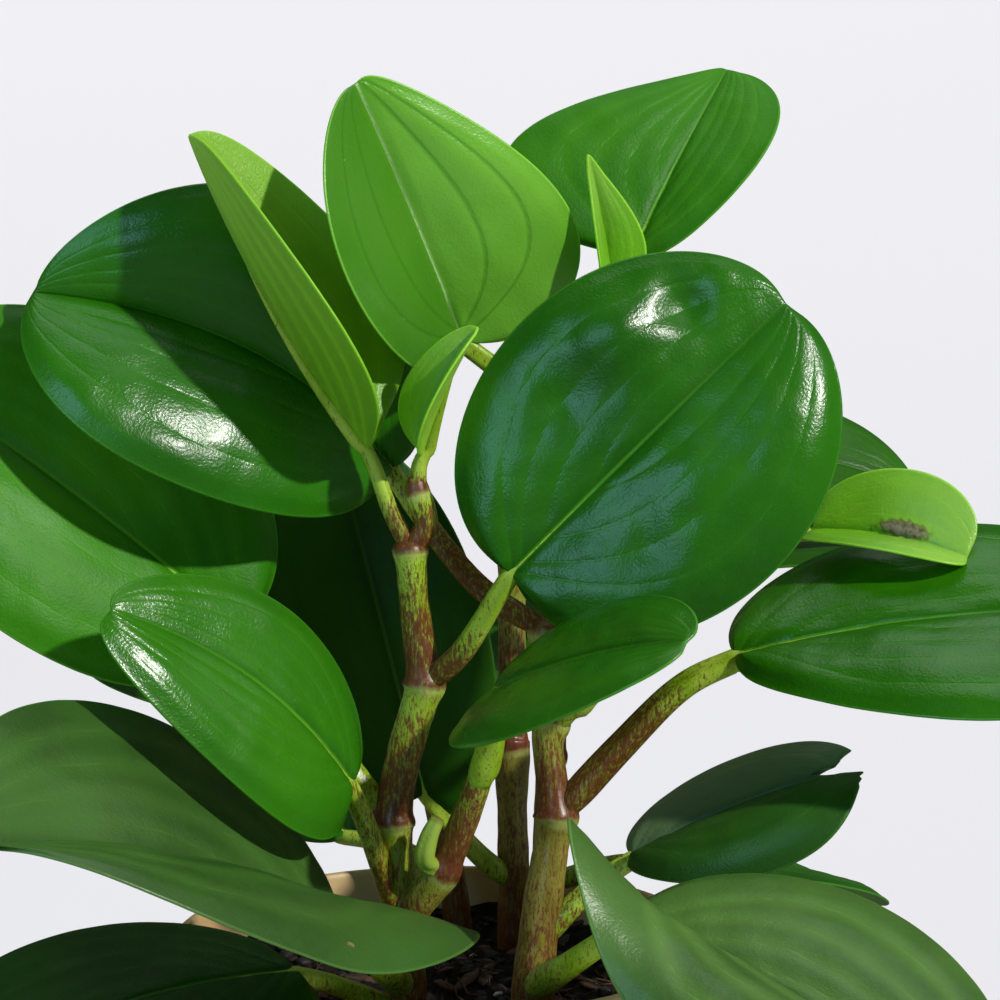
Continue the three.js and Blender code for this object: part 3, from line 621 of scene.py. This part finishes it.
def add_tube(build, line, radii, up, sides, slot, shape=None, **marks):
    """A closed tube along a line. shape gives the radius a share that depends on the turn from up, and
    each mark is one value or one for each point of the line."""
    count = len(line)
    along = np.gradient(line, axis=0)
    along /= np.linalg.norm(along, axis=1, keepdims=True)
    up = np.asarray(up, float)
    top = up - along * (up * along).sum(1, keepdims=True)
    top /= np.maximum(np.linalg.norm(top, axis=1, keepdims=True), 1e-9)
    side = np.cross(along, top)
    turns = round_turns(sides)
    reach = radii[:, None] * (shape(turns) if shape else 1)
    ring = (line[:, None] + reach[..., None]
            * (np.cos(turns)[None, :, None] * top[:, None] + np.sin(turns)[None, :, None] * side[:, None]))
    marks = {mark: np.broadcast_to(value, count) for mark, value in marks.items()}
    index = build.add(ring, **{mark: np.repeat(values, sides) for mark, values in marks.items()})
    ends = [np.full(sides, build.add(line[i], **{mark: values[i] for mark, values in marks.items()}))
            for i in (0, -1)]
    build.grid(closed([ends[0], *index, ends[1]]), slot)


def add_petiole(build, leaf, place):
    """The petiole, channelled above, that runs on under the blade as its midrib's keel."""
    size = leaf.stalk or (YOUNG_PETIOLE_RADIUS if leaf.young else PETIOLE_RADIUS)
    stalk = catmull(leaf.petiole, 1.0)
    share = np.linspace(0, 1, len(stalk))
    radii = size * (PETIOLE_FOOT + (PETIOLE_END - PETIOLE_FOOT) * share)
    radii *= 1 - FOOT_PINCH * hump(share, 0.1)
    drop = 0.55 * radii[-1] * held((share - 0.6) / 0.4) ** 2
    keel_s = np.linspace(0, KEEL_END, 26)[1:]
    keel_r = size * PETIOLE_END * (1 - keel_s / (KEEL_END + 0.02)) ** 0.75
    keel = blade_point(leaf, place, keel_s * place.length, np.zeros_like(keel_s))
    keel = keel - place.out * (keel_r * 0.9 + 0.15)[:, None]
    keel[0] += place.out * 0.1
    line = np.vstack([stalk - place.out * drop[:, None], keel])
    foot_rust, end_rust = leaf.rust
    turned = 1 / (1 + np.exp(-(share - leaf.turn) / 0.07))
    rust = foot_rust + (end_rust - foot_rust) * turned
    rust = np.concatenate([rust, np.full(len(keel), end_rust * 0.4)])
    ring = hump(np.arange(len(line)) - 3, 1.6) * 0.5
    channel = np.concatenate([held(share * 3), np.zeros(len(keel))])

    def grooved(turns):
        away = np.minimum(turns, FULL_TURN - turns)
        notch = 0.26 * hump(away, 0.45) - 0.06 * hump(away - 0.95, 0.35)
        return 1 - channel[:, None] * notch[None, :]

    radii = np.concatenate([radii, keel_r])
    add_tube(build, line, radii, place.out, PETIOLE_SIDES, 1, grooved, rust=rust, age=0.15, ring=ring)


def joint_marks(line, joints):
    """How near each point of a stem is to a joint, and its share of the way from one joint to the next."""
    run = np.concatenate([[0], np.cumsum(np.linalg.norm(np.diff(line[:, :3], axis=0), axis=1))])
    stops = [0.0] + [run[np.argmin(np.linalg.norm(line[:, :3] - joint, axis=1))] for joint in joints]
    stops.append(run[-1] + 8)
    near = np.zeros(len(line))
    share = np.zeros(len(line))
    for low, high in zip(stops, stops[1:]):
        here = (run >= low) & (run <= high)
        share[here] = (run[here] - low) / (high - low)
        near = np.maximum(near, hump(run - high + 0.8, 1.7))
    return near, share


def add_stem(build, branch, seed, rust, older):
    """A stem, reddest just above each joint and greenest below the next, and older towards its foot. It
    has small swellings along it and low ridges round it."""
    line = catmull(branch, 0.8)
    steps = np.arange(len(line))
    shift = random.Random(seed).uniform(0, 9)
    swell = 1 + 0.02 * np.sin(steps * 0.31 + shift) + 0.012 * np.sin(steps * 0.83 + 2 * shift)
    joints = [np.array(p[:3]) for i, p in enumerate(branch[1:-1], 1)
              if p[3] > branch[i - 1][3] and p[3] > branch[i + 1][3] + 0.2]
    ring, share = joint_marks(line, joints)
    height = held((line[:, 2] - 95) / 80)
    tone = (rust[0] + (rust[1] - rust[0]) * height) * (1 - 0.8 * share**1.2)

    def ridged(turns):
        shift = random.Random(seed).uniform(0, 6)
        return 1 + (0.018 * np.sin(5 * turns + shift) + 0.012 * np.sin(9 * turns + 2 * shift))

    add_tube(build, line[:, :3], line[:, 3] * swell, (1, 0, 0), STEM_SIDES, 0, ridged, rust=tone,
             age=held(1 - height + older), ring=ring)


class Nodes:
    """Short names for making a material's nodes. colour is what has been mixed so far."""

    def __init__(self, name):
        self.material = bpy.data.materials.new(name)
        self.material.use_nodes = True
        self.tree = self.material.node_tree
        self.tree.nodes.clear()
        self.shader = self.new("BsdfPrincipled")
        self.tree.links.new(self.shader.outputs[0], self.new("OutputMaterial").inputs[0])
        self.place = self.new("TexCoord").outputs["Object"]
        self.colour = None

    def new(self, kind, **inputs):
        node = self.tree.nodes.new("ShaderNode" + kind)
        for name, value in inputs.items():
            self.put(node.inputs[name], value)
        return node

    def put(self, socket, value):
        if isinstance(value, bpy.types.NodeSocket):
            self.tree.links.new(value, socket)
        else:
            socket.default_value = value

    def set(self, name, value):
        self.put(self.shader.inputs[name], value)

    def finish(self, rough, shine, normal):
        """Sets the colour mixed so far and the rest of the surface, and returns the material."""
        self.set("Base Color", self.colour)
        self.set("Roughness", rough)
        self.set("Specular IOR Level", shine)
        self.set("Normal", normal)
        return self.material

    def mark(self, name):
        node = self.new("Attribute")
        node.attribute_name = name
        return node.outputs["Fac"]

    def math(self, operation, a, b):
        node = self.new("Math")
        node.operation = operation
        self.put(node.inputs[0], a)
        self.put(node.inputs[1], b)
        return node.outputs[0]

    def between(self, value, low, high, to_low=0.0, to_high=1.0):
        """Turns a value from low to high into one from to_low to to_high, smoothly, and holds it there."""
        node = self.new("MapRange")
        node.interpolation_type = "SMOOTHSTEP"
        for socket, number in zip(node.inputs[:5], (value, low, high, to_low, to_high)):
            self.put(socket, number)
        return node.outputs[0]

    def mix(self, share, a, b):
        node = self.new("Mix")
        node.data_type = "RGBA"
        for socket, value in ((0, share), (6, a), (7, b)):
            self.put(node.inputs[socket], value)
        return node.outputs[2]

    def tint(self, colour, *span):
        """Mixes a colour over the present one, by one share or by what between makes of the span."""
        share = self.between(*span) if len(span) > 1 else span[0]
        self.colour = self.mix(share, self.colour, colour)

    def stretched(self, scale, shift=(0, 0, 0)):
        return self.new("Mapping", Vector=self.place, Scale=scale, Location=shift).outputs[0]

    def noise(self, scale, detail=3.0, vector=None, roughness=0.55):
        return self.new("TexNoise", Vector=vector or self.place, Scale=scale, Detail=detail,
                        Roughness=roughness).outputs["Fac"]

    def cells(self, scale, vector=None, output="Distance"):
        return self.new("TexVoronoi", Vector=vector or self.place, Scale=scale).outputs[output]

    def bump(self, height, distance, strength, **under):
        return self.new("Bump", Height=height, Distance=distance, Strength=strength, **under).outputs[0]


def leaf_material(name, look, seed):
    """A waxy leaf: even green, a pale midrib in a band of painted shade, a pale margin, soft light veins
    and a dull underside.
    """
    n = Nodes(name)
    shift = n.stretched((1, 1, 1), (seed * 0.37, seed * 0.11, 0))
    fine = n.noise(700, 4, shift)
    vein = n.mark("vein")
    middle = n.mark("mid")
    along = n.mark("along")
    scar = n.mark("scar")
    face = n.mark("face")
    red, green, blue = look["light"][:3]
    pale = (red * 1.4 + 0.012, green * 1.35 + 0.015, blue * 1.3 + 0.006, 1.0)
    bright = (pale[0] * 1.6, pale[1] * 1.25, pale[2] * 1.5, 1.0)

    n.colour = n.mix(n.between(n.noise(26, 2, shift), 0.3, 0.7, 0.1, 0.75), look["dark"], look["light"])
    n.tint(look["light"], fine, 0.35, 0.75, 0.0, 0.15)
    n.tint(pale, vein, 0.2, 3.4, look["streak"], 0.0)
    if "line" in look:
        n.tint(look["line"], vein, 0.15, 0.8, 0.45, 0.0)
    else:
        n.tint(pale, vein, 0.05, 0.5, look["streak"], 0.0)
    # Paints the left half in the look's left colour: painted shade on one leaf, painted light on another.
    if "left" in look:
        n.tint(look["left"], n.math("MULTIPLY", n.mark("left"), 0.7))
    # Painted shade: darkens the blade along the midrib's crease.
    n.tint(look["dark"], middle, 0.6, 2.6, 0.3, 0.0)
    rib = n.between(middle, 0.15, 0.6, 0.85, 0.0)
    n.tint(bright, n.math("MULTIPLY", rib, n.between(along, 0.1, 0.8, 1.0, 0.25)))
    # A near-white line down a ridged midrib: partly its pale colour, partly a painted highlight for its
    # glints.
    if "line" in look:
        n.tint(rgb(168, 204, 138), middle, 0.3, 0.8, 0.8, 0.0)
    n.tint(pale, n.cells(300, shift), 0.03, 0.07, 0.35, 0.0)

    under = n.mix(n.between(fine, 0.3, 0.7, 0.0, 0.3), look["under"], look["light"])
    under = n.mix(n.between(vein, 0.1, 1.8, 0.35, 0.0), under, pale)
    n.colour = n.mix(n.between(face, 0.45, 0.8), under, n.colour)
    if "fade" in look:
        n.tint(rgb(172, 200, 108), along, 0.2, 0.95, 0.0, look["fade"])
    n.tint(pale, n.mark("edge"), 0.02, 0.26, 0.6, 0.0)
    bark = n.mix(n.between(n.noise(900), 0.3, 0.7), rgb(70, 68, 54), rgb(206, 202, 186))
    n.tint(bark, scar, 0.85, 1.0, 1.0, 0.0)
    n.tint(rgb(88, 82, 22), scar, 1.0, 1.35, 0.7, 0.0)

    rough = n.between(face, 0.45, 0.8, 0.55, look["rough"])
    for more in ((n.noise(90, 2, shift), 0.35, 0.65, -0.02, 0.04), (scar, 0.9, 1.3, 0.4, 0.0)):
        rough = n.math("ADD", rough, n.between(*more))
    if "shine" not in look:
        n.set("Coat Weight", 0.05)
        n.set("Coat Roughness", 0.15)
    if "through" in look:
        n.set("Subsurface Weight", look["through"])
        n.set("Subsurface Radius", (0.5, 1.0, 0.2))
        n.set("Subsurface Scale", 0.003)
    grain = n.bump(n.noise(1900, 2, shift, 0.5), 0.00012, 0.7)
    wrinkle = n.bump(n.noise(620, 3, shift, 0.5), 0.00012, 0.35, Normal=grain)
    puckers = n.bump(n.noise(150, 2, shift), 0.0006, 0.3, Normal=wrinkle)
    normal = n.bump(n.between(vein, 0.0, 0.6), 0.0001, 0.5, Normal=puckers)
    return n.finish(rough, look.get("shine", 0.5), normal)


def stem_material(name):
    """Green stems, olive with age, flushed and flecked with red-brown, and paler at their joints."""
    n = Nodes(name)
    rust = n.mark("rust")
    mottled = n.noise(150, 3, n.stretched((1, 1, 0.4)))
    patches = n.between(mottled, 0.3, 0.7)
    young = n.mix(patches, rgb(134, 176, 24), rgb(172, 204, 66))
    old = n.mix(patches, rgb(96, 96, 24), rgb(136, 128, 48))
    n.colour = n.mix(n.mark("age"), young, old)
    flush = n.math("ADD", n.noise(170, 4, n.stretched((1, 1, 0.3))), rust)
    n.tint(rgb(118, 62, 32), flush, 0.95, 1.8, 0.0, 0.56)
    level = n.math("MULTIPLY", rust, 0.17)
    streaks = n.math("ADD", n.noise(1700, 4, n.stretched((1, 1, 0.2)), 0.62), level)
    n.tint(rgb(104, 42, 26), streaks, 0.58, 0.7, 0.0, 0.85)
    flecks = n.math("ADD", n.noise(3400, 2, n.stretched((1, 1, 0.35)), 0.5), level)
    n.tint(rgb(84, 34, 24), flecks, 0.6, 0.72, 0.0, 0.6)
    ring = n.math("ADD", n.mark("ring"), n.between(n.noise(300), 0.3, 0.7, -0.25, 0.1))
    n.tint(rgb(168, 178, 98), ring, 0.45, 1.1, 0.0, 0.6)
    grooves = n.bump(n.noise(420, 3, n.stretched((1, 1, 0.16))), 0.00025, 0.5)
    normal = n.bump(n.noise(1500), 0.00006, 0.5, Normal=grooves)
    return n.finish(n.between(mottled, 0.3, 0.7, 0.3, 0.44), 0.45, normal)


def soil_material(name):
    """Nearly black soil with browner and a few pale crumbs."""
    n = Nodes(name)
    split = n.new("SeparateColor", Color=n.cells(360, output="Color"))
    n.colour = n.mix(n.between(n.noise(240, 5), 0.35, 0.7), rgb(8, 6, 5), rgb(26, 19, 14))
    n.tint(rgb(48, 32, 21), split.outputs[0], 0.75, 0.95, 0.0, 0.5)
    n.tint(rgb(96, 84, 70), split.outputs[1], 0.97, 0.99, 0.0, 0.6)
    coarse = n.bump(n.cells(420), 0.0009, 0.7)
    normal = n.bump(n.noise(1500, 4, None, 0.7), 0.0005, 0.8, Normal=coarse)
    return n.finish(n.between(n.noise(300, 2), 0.3, 0.7, 0.7, 0.98), 0.2, normal)


def bit_material(name, dark, light):
    """Crumbs, bark chips and perlite lying in the soil."""
    n = Nodes(name)
    n.colour = n.mix(n.between(n.noise(500, 4), 0.3, 0.7), dark, light)
    normal = n.bump(n.noise(1400, 3, n.stretched((1, 1, 0.4))), 0.0003, 0.6)
    return n.finish(n.between(n.noise(900, 2), 0.3, 0.7, 0.6, 0.9), 0.5, normal)


def pot_material(name):
    """Satin tan plastic, faintly mottled, dusty and finely scuffed."""
    n = Nodes(name)
    n.colour = n.mix(n.between(n.noise(26, 4), 0.3, 0.7), rgb(190, 156, 108), rgb(206, 176, 128))
    n.tint(rgb(222, 202, 166), n.noise(210, 5, None, 0.7), 0.55, 0.8, 0.0, 0.3)
    n.tint(rgb(160, 124, 82), n.noise(120, 3, n.stretched((0.25, 0.25, 3.5))), 0.66, 0.76, 0.0, 0.25)
    fine = n.bump(n.noise(1100), 0.00005, 0.5)
    normal = n.bump(n.noise(60, 2), 0.0006, 0.15, Normal=fine)
    return n.finish(n.between(n.noise(70), 0.3, 0.7, 0.42, 0.6), 0.45, normal)


def pot_inside(z):
    low, high = BASE_RADIUS - WALL, RIM_RADIUS - WALL - EDGE / 2
    return low + (high - low) * (z - FLOOR) / (INSIDE_TOP - FLOOR)


def rounded(profile):
    """The profile with each inner corner turned into a short arc."""
    points = [np.array(p, float) for p in profile]
    result = [points[0]]
    for before, here, after in zip(points, points[1:], points[2:]):
        back, on = before - here, after - here
        cut = min(POT_CORNER, np.linalg.norm(back) / 2.2, np.linalg.norm(on) / 2.2)
        start, end = here + unit(back) * cut, here + unit(on) * cut
        for u in np.linspace(0, 1, 5):
            result.append((1 - u) ** 2 * start + 2 * u * (1 - u) * here + u**2 * end)
    return result + [points[-1]]


def add_ring(build, radius, z, turns):
    """A ring of points round the pot's axis, or one point for all of the ring, as indices."""
    if np.all(radius == 0):
        return np.full(len(turns), build.add([0, 0, z]))
    z = np.broadcast_to(z, len(turns))
    return build.add(np.stack([radius * np.cos(turns), radius * np.sin(turns), z], -1))


def pot_piece(material):
    """The pot, its profile turned round its axis, and very slightly out of round."""
    band = POT_HEIGHT - BAND_HEIGHT
    wall = [[BASE_RADIUS + (RIM_RADIUS - BAND_STEP - BASE_RADIUS) * u, EDGE + (band - EDGE) * u]
            for u in np.linspace(0, 1, 12)]
    profile = [
        [0, FOOT_HEIGHT], [BASE_RADIUS - FOOT_WIDTH, FOOT_HEIGHT],
        [BASE_RADIUS - FOOT_WIDTH - FOOT_SLOPE, 0], [BASE_RADIUS - EDGE, 0], *wall,
        [RIM_RADIUS - EDGE / 2, band + EDGE], [RIM_RADIUS - 0.2, band + 4], [RIM_RADIUS, INSIDE_TOP],
        [RIM_RADIUS - EDGE, POT_HEIGHT], [RIM_RADIUS - WALL, POT_HEIGHT],
        [pot_inside(INSIDE_TOP), INSIDE_TOP], [pot_inside(60), 60], [pot_inside(FLOOR), FLOOR], [0, FLOOR],
    ]
    build = Builder()
    turns = round_turns(POT_SIDES)
    rings = []
    for r, z in rounded(profile):
        wobble = OUT_OF_ROUND * np.sin(2 * turns + 0.4) * min(z / 60, 1)
        rings.append(add_ring(build, r + wobble if r else 0, z, turns))
    build.grid(closed(rings))
    return build.object("pot_shell", [material])


def soil_height(x, y):
    hills = np.sin(0.11 * x + 0.6) * np.cos(0.13 * y) + 0.5 * np.sin(0.27 * x + 0.19 * y + 1.3)
    return SOIL_TOP + SOIL_BUMP * hills


def soil_piece(material):
    """A fine crumbly bed of soil that fills the pot, on a plain underside."""
    build = Builder()
    top = pot_inside(SOIL_TOP) - SOIL_GAP
    turns = round_turns(SOIL_SIDES)
    rings = [add_ring(build, 0, soil_height(0.0, 0.0), turns)]
    for ring in range(1, SOIL_RINGS + 1):
        r = top * ring / SOIL_RINGS
        x, y = r * np.cos(turns), r * np.sin(turns)
        crumbs = 0.7 * smooth_noise(x, y, 21, 5) + 0.7 * smooth_noise(x, y, 22, 2.2)
        crumbs += 0.6 * smooth_noise(x, y, 23, 1.2)
        rings.append(add_ring(build, r, soil_height(x, y) + crumbs, turns))
    bottom = SOIL_TOP - SOIL_DEPTH
    for r in (pot_inside(bottom) - SOIL_LOW_GAP, 0):
        rings.append(add_ring(build, r, bottom, turns))
    build.grid(closed(rings).T)
    return build.object("soil_bed", [material])


def lump(build, source, centre, size, stretch, slot):
    """A crumb, chip or grain: a rough closed lump."""
    shape = bmesh.new()
    bmesh.ops.create_icosphere(shape, subdivisions=2, radius=1)
    turn = source.uniform(0, math.pi)
    tilt = source.uniform(-0.5, 0.5)
    cos, sin = math.cos(turn), math.sin(turn)
    points = []
    for vert in shape.verts:
        rough = 1 + 0.22 * math.sin(5 * vert.co.x + turn * 7) * math.cos(4 * vert.co.y + turn * 3)
        x, y, z = (vert.co * rough * size).to_tuple()
        x *= stretch
        z = z * 0.6 + x * math.sin(tilt)
        points.append([centre[0] + x * cos - y * sin, centre[1] + x * sin + y * cos, centre[2] + z])
    shape.verts.index_update()
    index = build.add(points)
    for face in shape.faces:
        build.face([index[v.index] for v in face.verts], slot)
    shape.free()


def near_stem(x, y):
    feet = [branches[0][1] for branches in STEMS.values()]
    return any(math.hypot(x - foot[0], y - foot[1]) < STEM_CLEAR for foot in feet)


def scattered(source, reach):
    """A place on the soil, as likely anywhere within reach of the middle."""
    r = reach * math.sqrt(source.random())
    turn = source.uniform(0, FULL_TURN)
    return r * math.cos(turn), r * math.sin(turn)


def soil_bits(materials):
    """Crumbs, bark chips, perlite grains and root fibres scattered over the soil."""
    source = random.Random(SEED)
    build = Builder()
    made = 0
    while made < BIT_COUNT:
        x, y = scattered(source, BIT_REACH)
        if near_stem(x, y):
            continue
        made += 1
        kind = source.random()
        size = source.uniform(0.5, 1.5)
        place = (x, y, float(soil_height(x, y)) + 0.5)
        if kind < CRUMBS_UP_TO:
            lump(build, source, place, size, source.uniform(1, 1.6), 0)
        elif kind < CHIPS_UP_TO:
            lump(build, source, place, size * 1.1, source.uniform(1.8, 3.2), 1)
        else:
            lump(build, source, place, size * 0.7, 1.1, 2)
    for _ in range(FIBRE_COUNT):
        x, y = scattered(source, FIBRE_REACH)
        heading = source.uniform(0, FULL_TURN)
        points = []
        for _ in range(5):
            points.append([x, y, float(soil_height(x, y)) + source.uniform(0.8, 1.9)])
            heading += source.uniform(-0.7, 0.7)
            x += FIBRE_STEP * math.cos(heading)
            y += FIBRE_STEP * math.sin(heading)
            if math.hypot(x, y) > BIT_REACH:
                break
        if len(points) > 2:
            line = catmull(points, 1.0)
            add_tube(build, line, np.full(len(line), FIBRE_RADIUS), (0, 0, 1), 6, 1)
    return build.object("soil_bits", materials)


def bud_piece(material):
    """The small curled bud, with a rounded foot, a blunt end, and both of them brown."""
    def curled(turns):
        return 1 - 0.18 * hump(np.minimum(turns, FULL_TURN - turns), 0.4)

    build = Builder()
    line = catmull(BUD, 0.5)
    share = np.linspace(0, 1, len(line))
    radii = line[:, 3] * (1 - 0.7 * hump(share, 0.07) + 0.2 * hump(1 - share, 0.15))
    brown = 1.0 + 2.2 * np.minimum(share, 2.2 * (1 - share))
    add_tube(build, line[:, :3], radii, (-0.4, -1, 0.3), 24, 0, curled, scar=brown)
    return build.object("side_bud", [material])


def finish_piece(piece, node=None):
    if node is not None:
        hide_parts(node)
    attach(piece, "root")


stem_look = stem_material("stem")
for number, (name, branches) in enumerate(STEMS.items()):
    build = Builder()
    tone, older = STEM_LOOK.get(name, DEFAULT_STEM_LOOK)
    for part, branch in enumerate(branches):
        add_stem(build, branch, SEED + 10 * number + part, tone, older)
    finish_piece(build.object(name + "_skin", [stem_look]), name)

for number, grown in enumerate(LEAVES):
    name = grown.name
    place = blade_frame(grown)
    build = Builder()
    rows, columns = ROWS, FINE_COLUMNS if grown.fine else COLUMNS
    if name.startswith(BACK) or grown.half[0] < SMALL_HALF:
        rows, columns = PLAIN_ROWS, PLAIN_COLUMNS
    add_blade(build, grown, place, rows, columns, SEED + 5 * number)
    add_petiole(build, grown, place)
    material = leaf_material(name + "_green", LOOKS[grown.look], number)
    finish_piece(build.object(name + "_blade", [material, stem_look]), name)

finish_piece(bud_piece(leaf_material("bud_green", LOOKS["bud"], 40)))
finish_piece(pot_piece(pot_material("pot_tan")), "pot")
finish_piece(soil_piece(soil_material("soil_dark")), "soil")
bits = [
    bit_material("crumbs", rgb(10, 8, 6), rgb(32, 23, 17)),
    bit_material("bark", rgb(38, 22, 13), rgb(84, 52, 30)),
    bit_material("perlite", rgb(120, 110, 96), rgb(176, 166, 150)),
]
finish_piece(soil_bits(bits))


def stage_profile():
    """Distances from the middle and heights, from the floor's edge up the wall."""
    turns = np.linspace(0, math.pi / 2, 20)
    curve = [(STAGE_FLOOR + STAGE_CURVE * math.sin(t), STAGE_CURVE * (1 - math.cos(t))) for t in turns]
    return curve + [(STAGE_FLOOR + STAGE_CURVE, STAGE_TOP)]


def stage_part(name, profile, first, last, material):
    """Turns the profile round the middle, from one share of a turn to another."""
    mesh = bpy.data.meshes.new(name)
    steps = round(STAGE_STEPS * (last - first))
    turns = [FULL_TURN * (first + (last - first) * i / steps) for i in range(steps + 1)]
    points = [(r * math.cos(t), r * math.sin(t), z) for t in turns for r, z in profile]
    count = len(profile)
    faces = [(i * count + k, (i + 1) * count + k, (i + 1) * count + k + 1, i * count + k + 1)
             for i in range(steps) for k in range(count - 1)]
    mesh.from_pydata(points, [], faces)
    mesh.materials.append(material)
    part = smooth_object(name, mesh)
    part.visible_glossy = False
    part.visible_shadow = False
    return part


paper = Nodes("paper")
where = paper.new("SeparateXYZ", Vector=paper.place).outputs
paper.set("Base Color", rgb(160, 160, 163))
paper.set("Roughness", 0.9)
paper.set("Specular IOR Level", 0.1)
paper.set("Emission Color", rgb(246, 246, 252))
glow = paper.between(where[2], 0, 1.5, *PAPER_GLOW)
paper.set("Emission Strength", paper.math("ADD", glow, paper.between(where[0], -1.5, 1.5, -0.02, 0.08)))
stage_part("stage_floor", [(0.0, 0.0), (0.4, 0.0), (STAGE_FLOOR, 0.0)], 0, 1, paper.material)
stage_part("stage_back", stage_profile(), 0, 0.5, paper.material)
stage_part("stage_front", stage_profile(), 0.5, 1, paper.material).visible_diffuse = False


def light(name, kind, place, energy, colour, **own):
    """A lamp that points at the middle of the plant."""
    data = bpy.data.lights.new(name, kind)
    data.energy = energy
    data.color = colour
    for key, value in own.items():
        setattr(data, key, value)
    lamp = new_object(name, data)
    lamp.location = place
    lamp.rotation_euler = (Vector((0, 0, 0.17)) - Vector(place)).to_track_quat("-Z", "Y").to_euler()


light("key", "SUN", (0.68, -0.56, 0.78), 3.0, (1.0, 0.98, 0.92), angle=math.radians(2.2))
light("window", "AREA", (-0.5, -1.0, 0.55), 2.8, (0.38, 0.74, 1.0), shape="RECTANGLE", size=0.5, size_y=0.6)
light("top", "AREA", (0.1, 0.2, 1.3), 3, (0.95, 0.98, 1.0), shape="RECTANGLE", size=0.9, size_y=0.9)

world = bpy.data.worlds.new("soft")
bpy.context.scene.world = world
world.use_nodes = True
background = world.node_tree.nodes["Background"]
background.inputs["Color"].default_value = (0.88, 0.98, 0.92, 1.0)
background.inputs["Strength"].default_value = 0.045
bpy.context.scene.view_settings.view_transform = "Standard"

camera_data = bpy.data.cameras.new("camera")
camera_data.lens = LENS
camera_data.sensor_width = 36
camera_data.clip_start = 0.01
camera = new_object("camera", camera_data)
away, above = DISTANCE * math.cos(PITCH), DISTANCE * math.sin(PITCH)
camera.location = [v * MM for v in (TARGET[0], TARGET[1] - away, TARGET[2] + above)]
camera.rotation_euler = (math.pi / 2 - PITCH, 0, 0)
bpy.context.scene.camera = camera
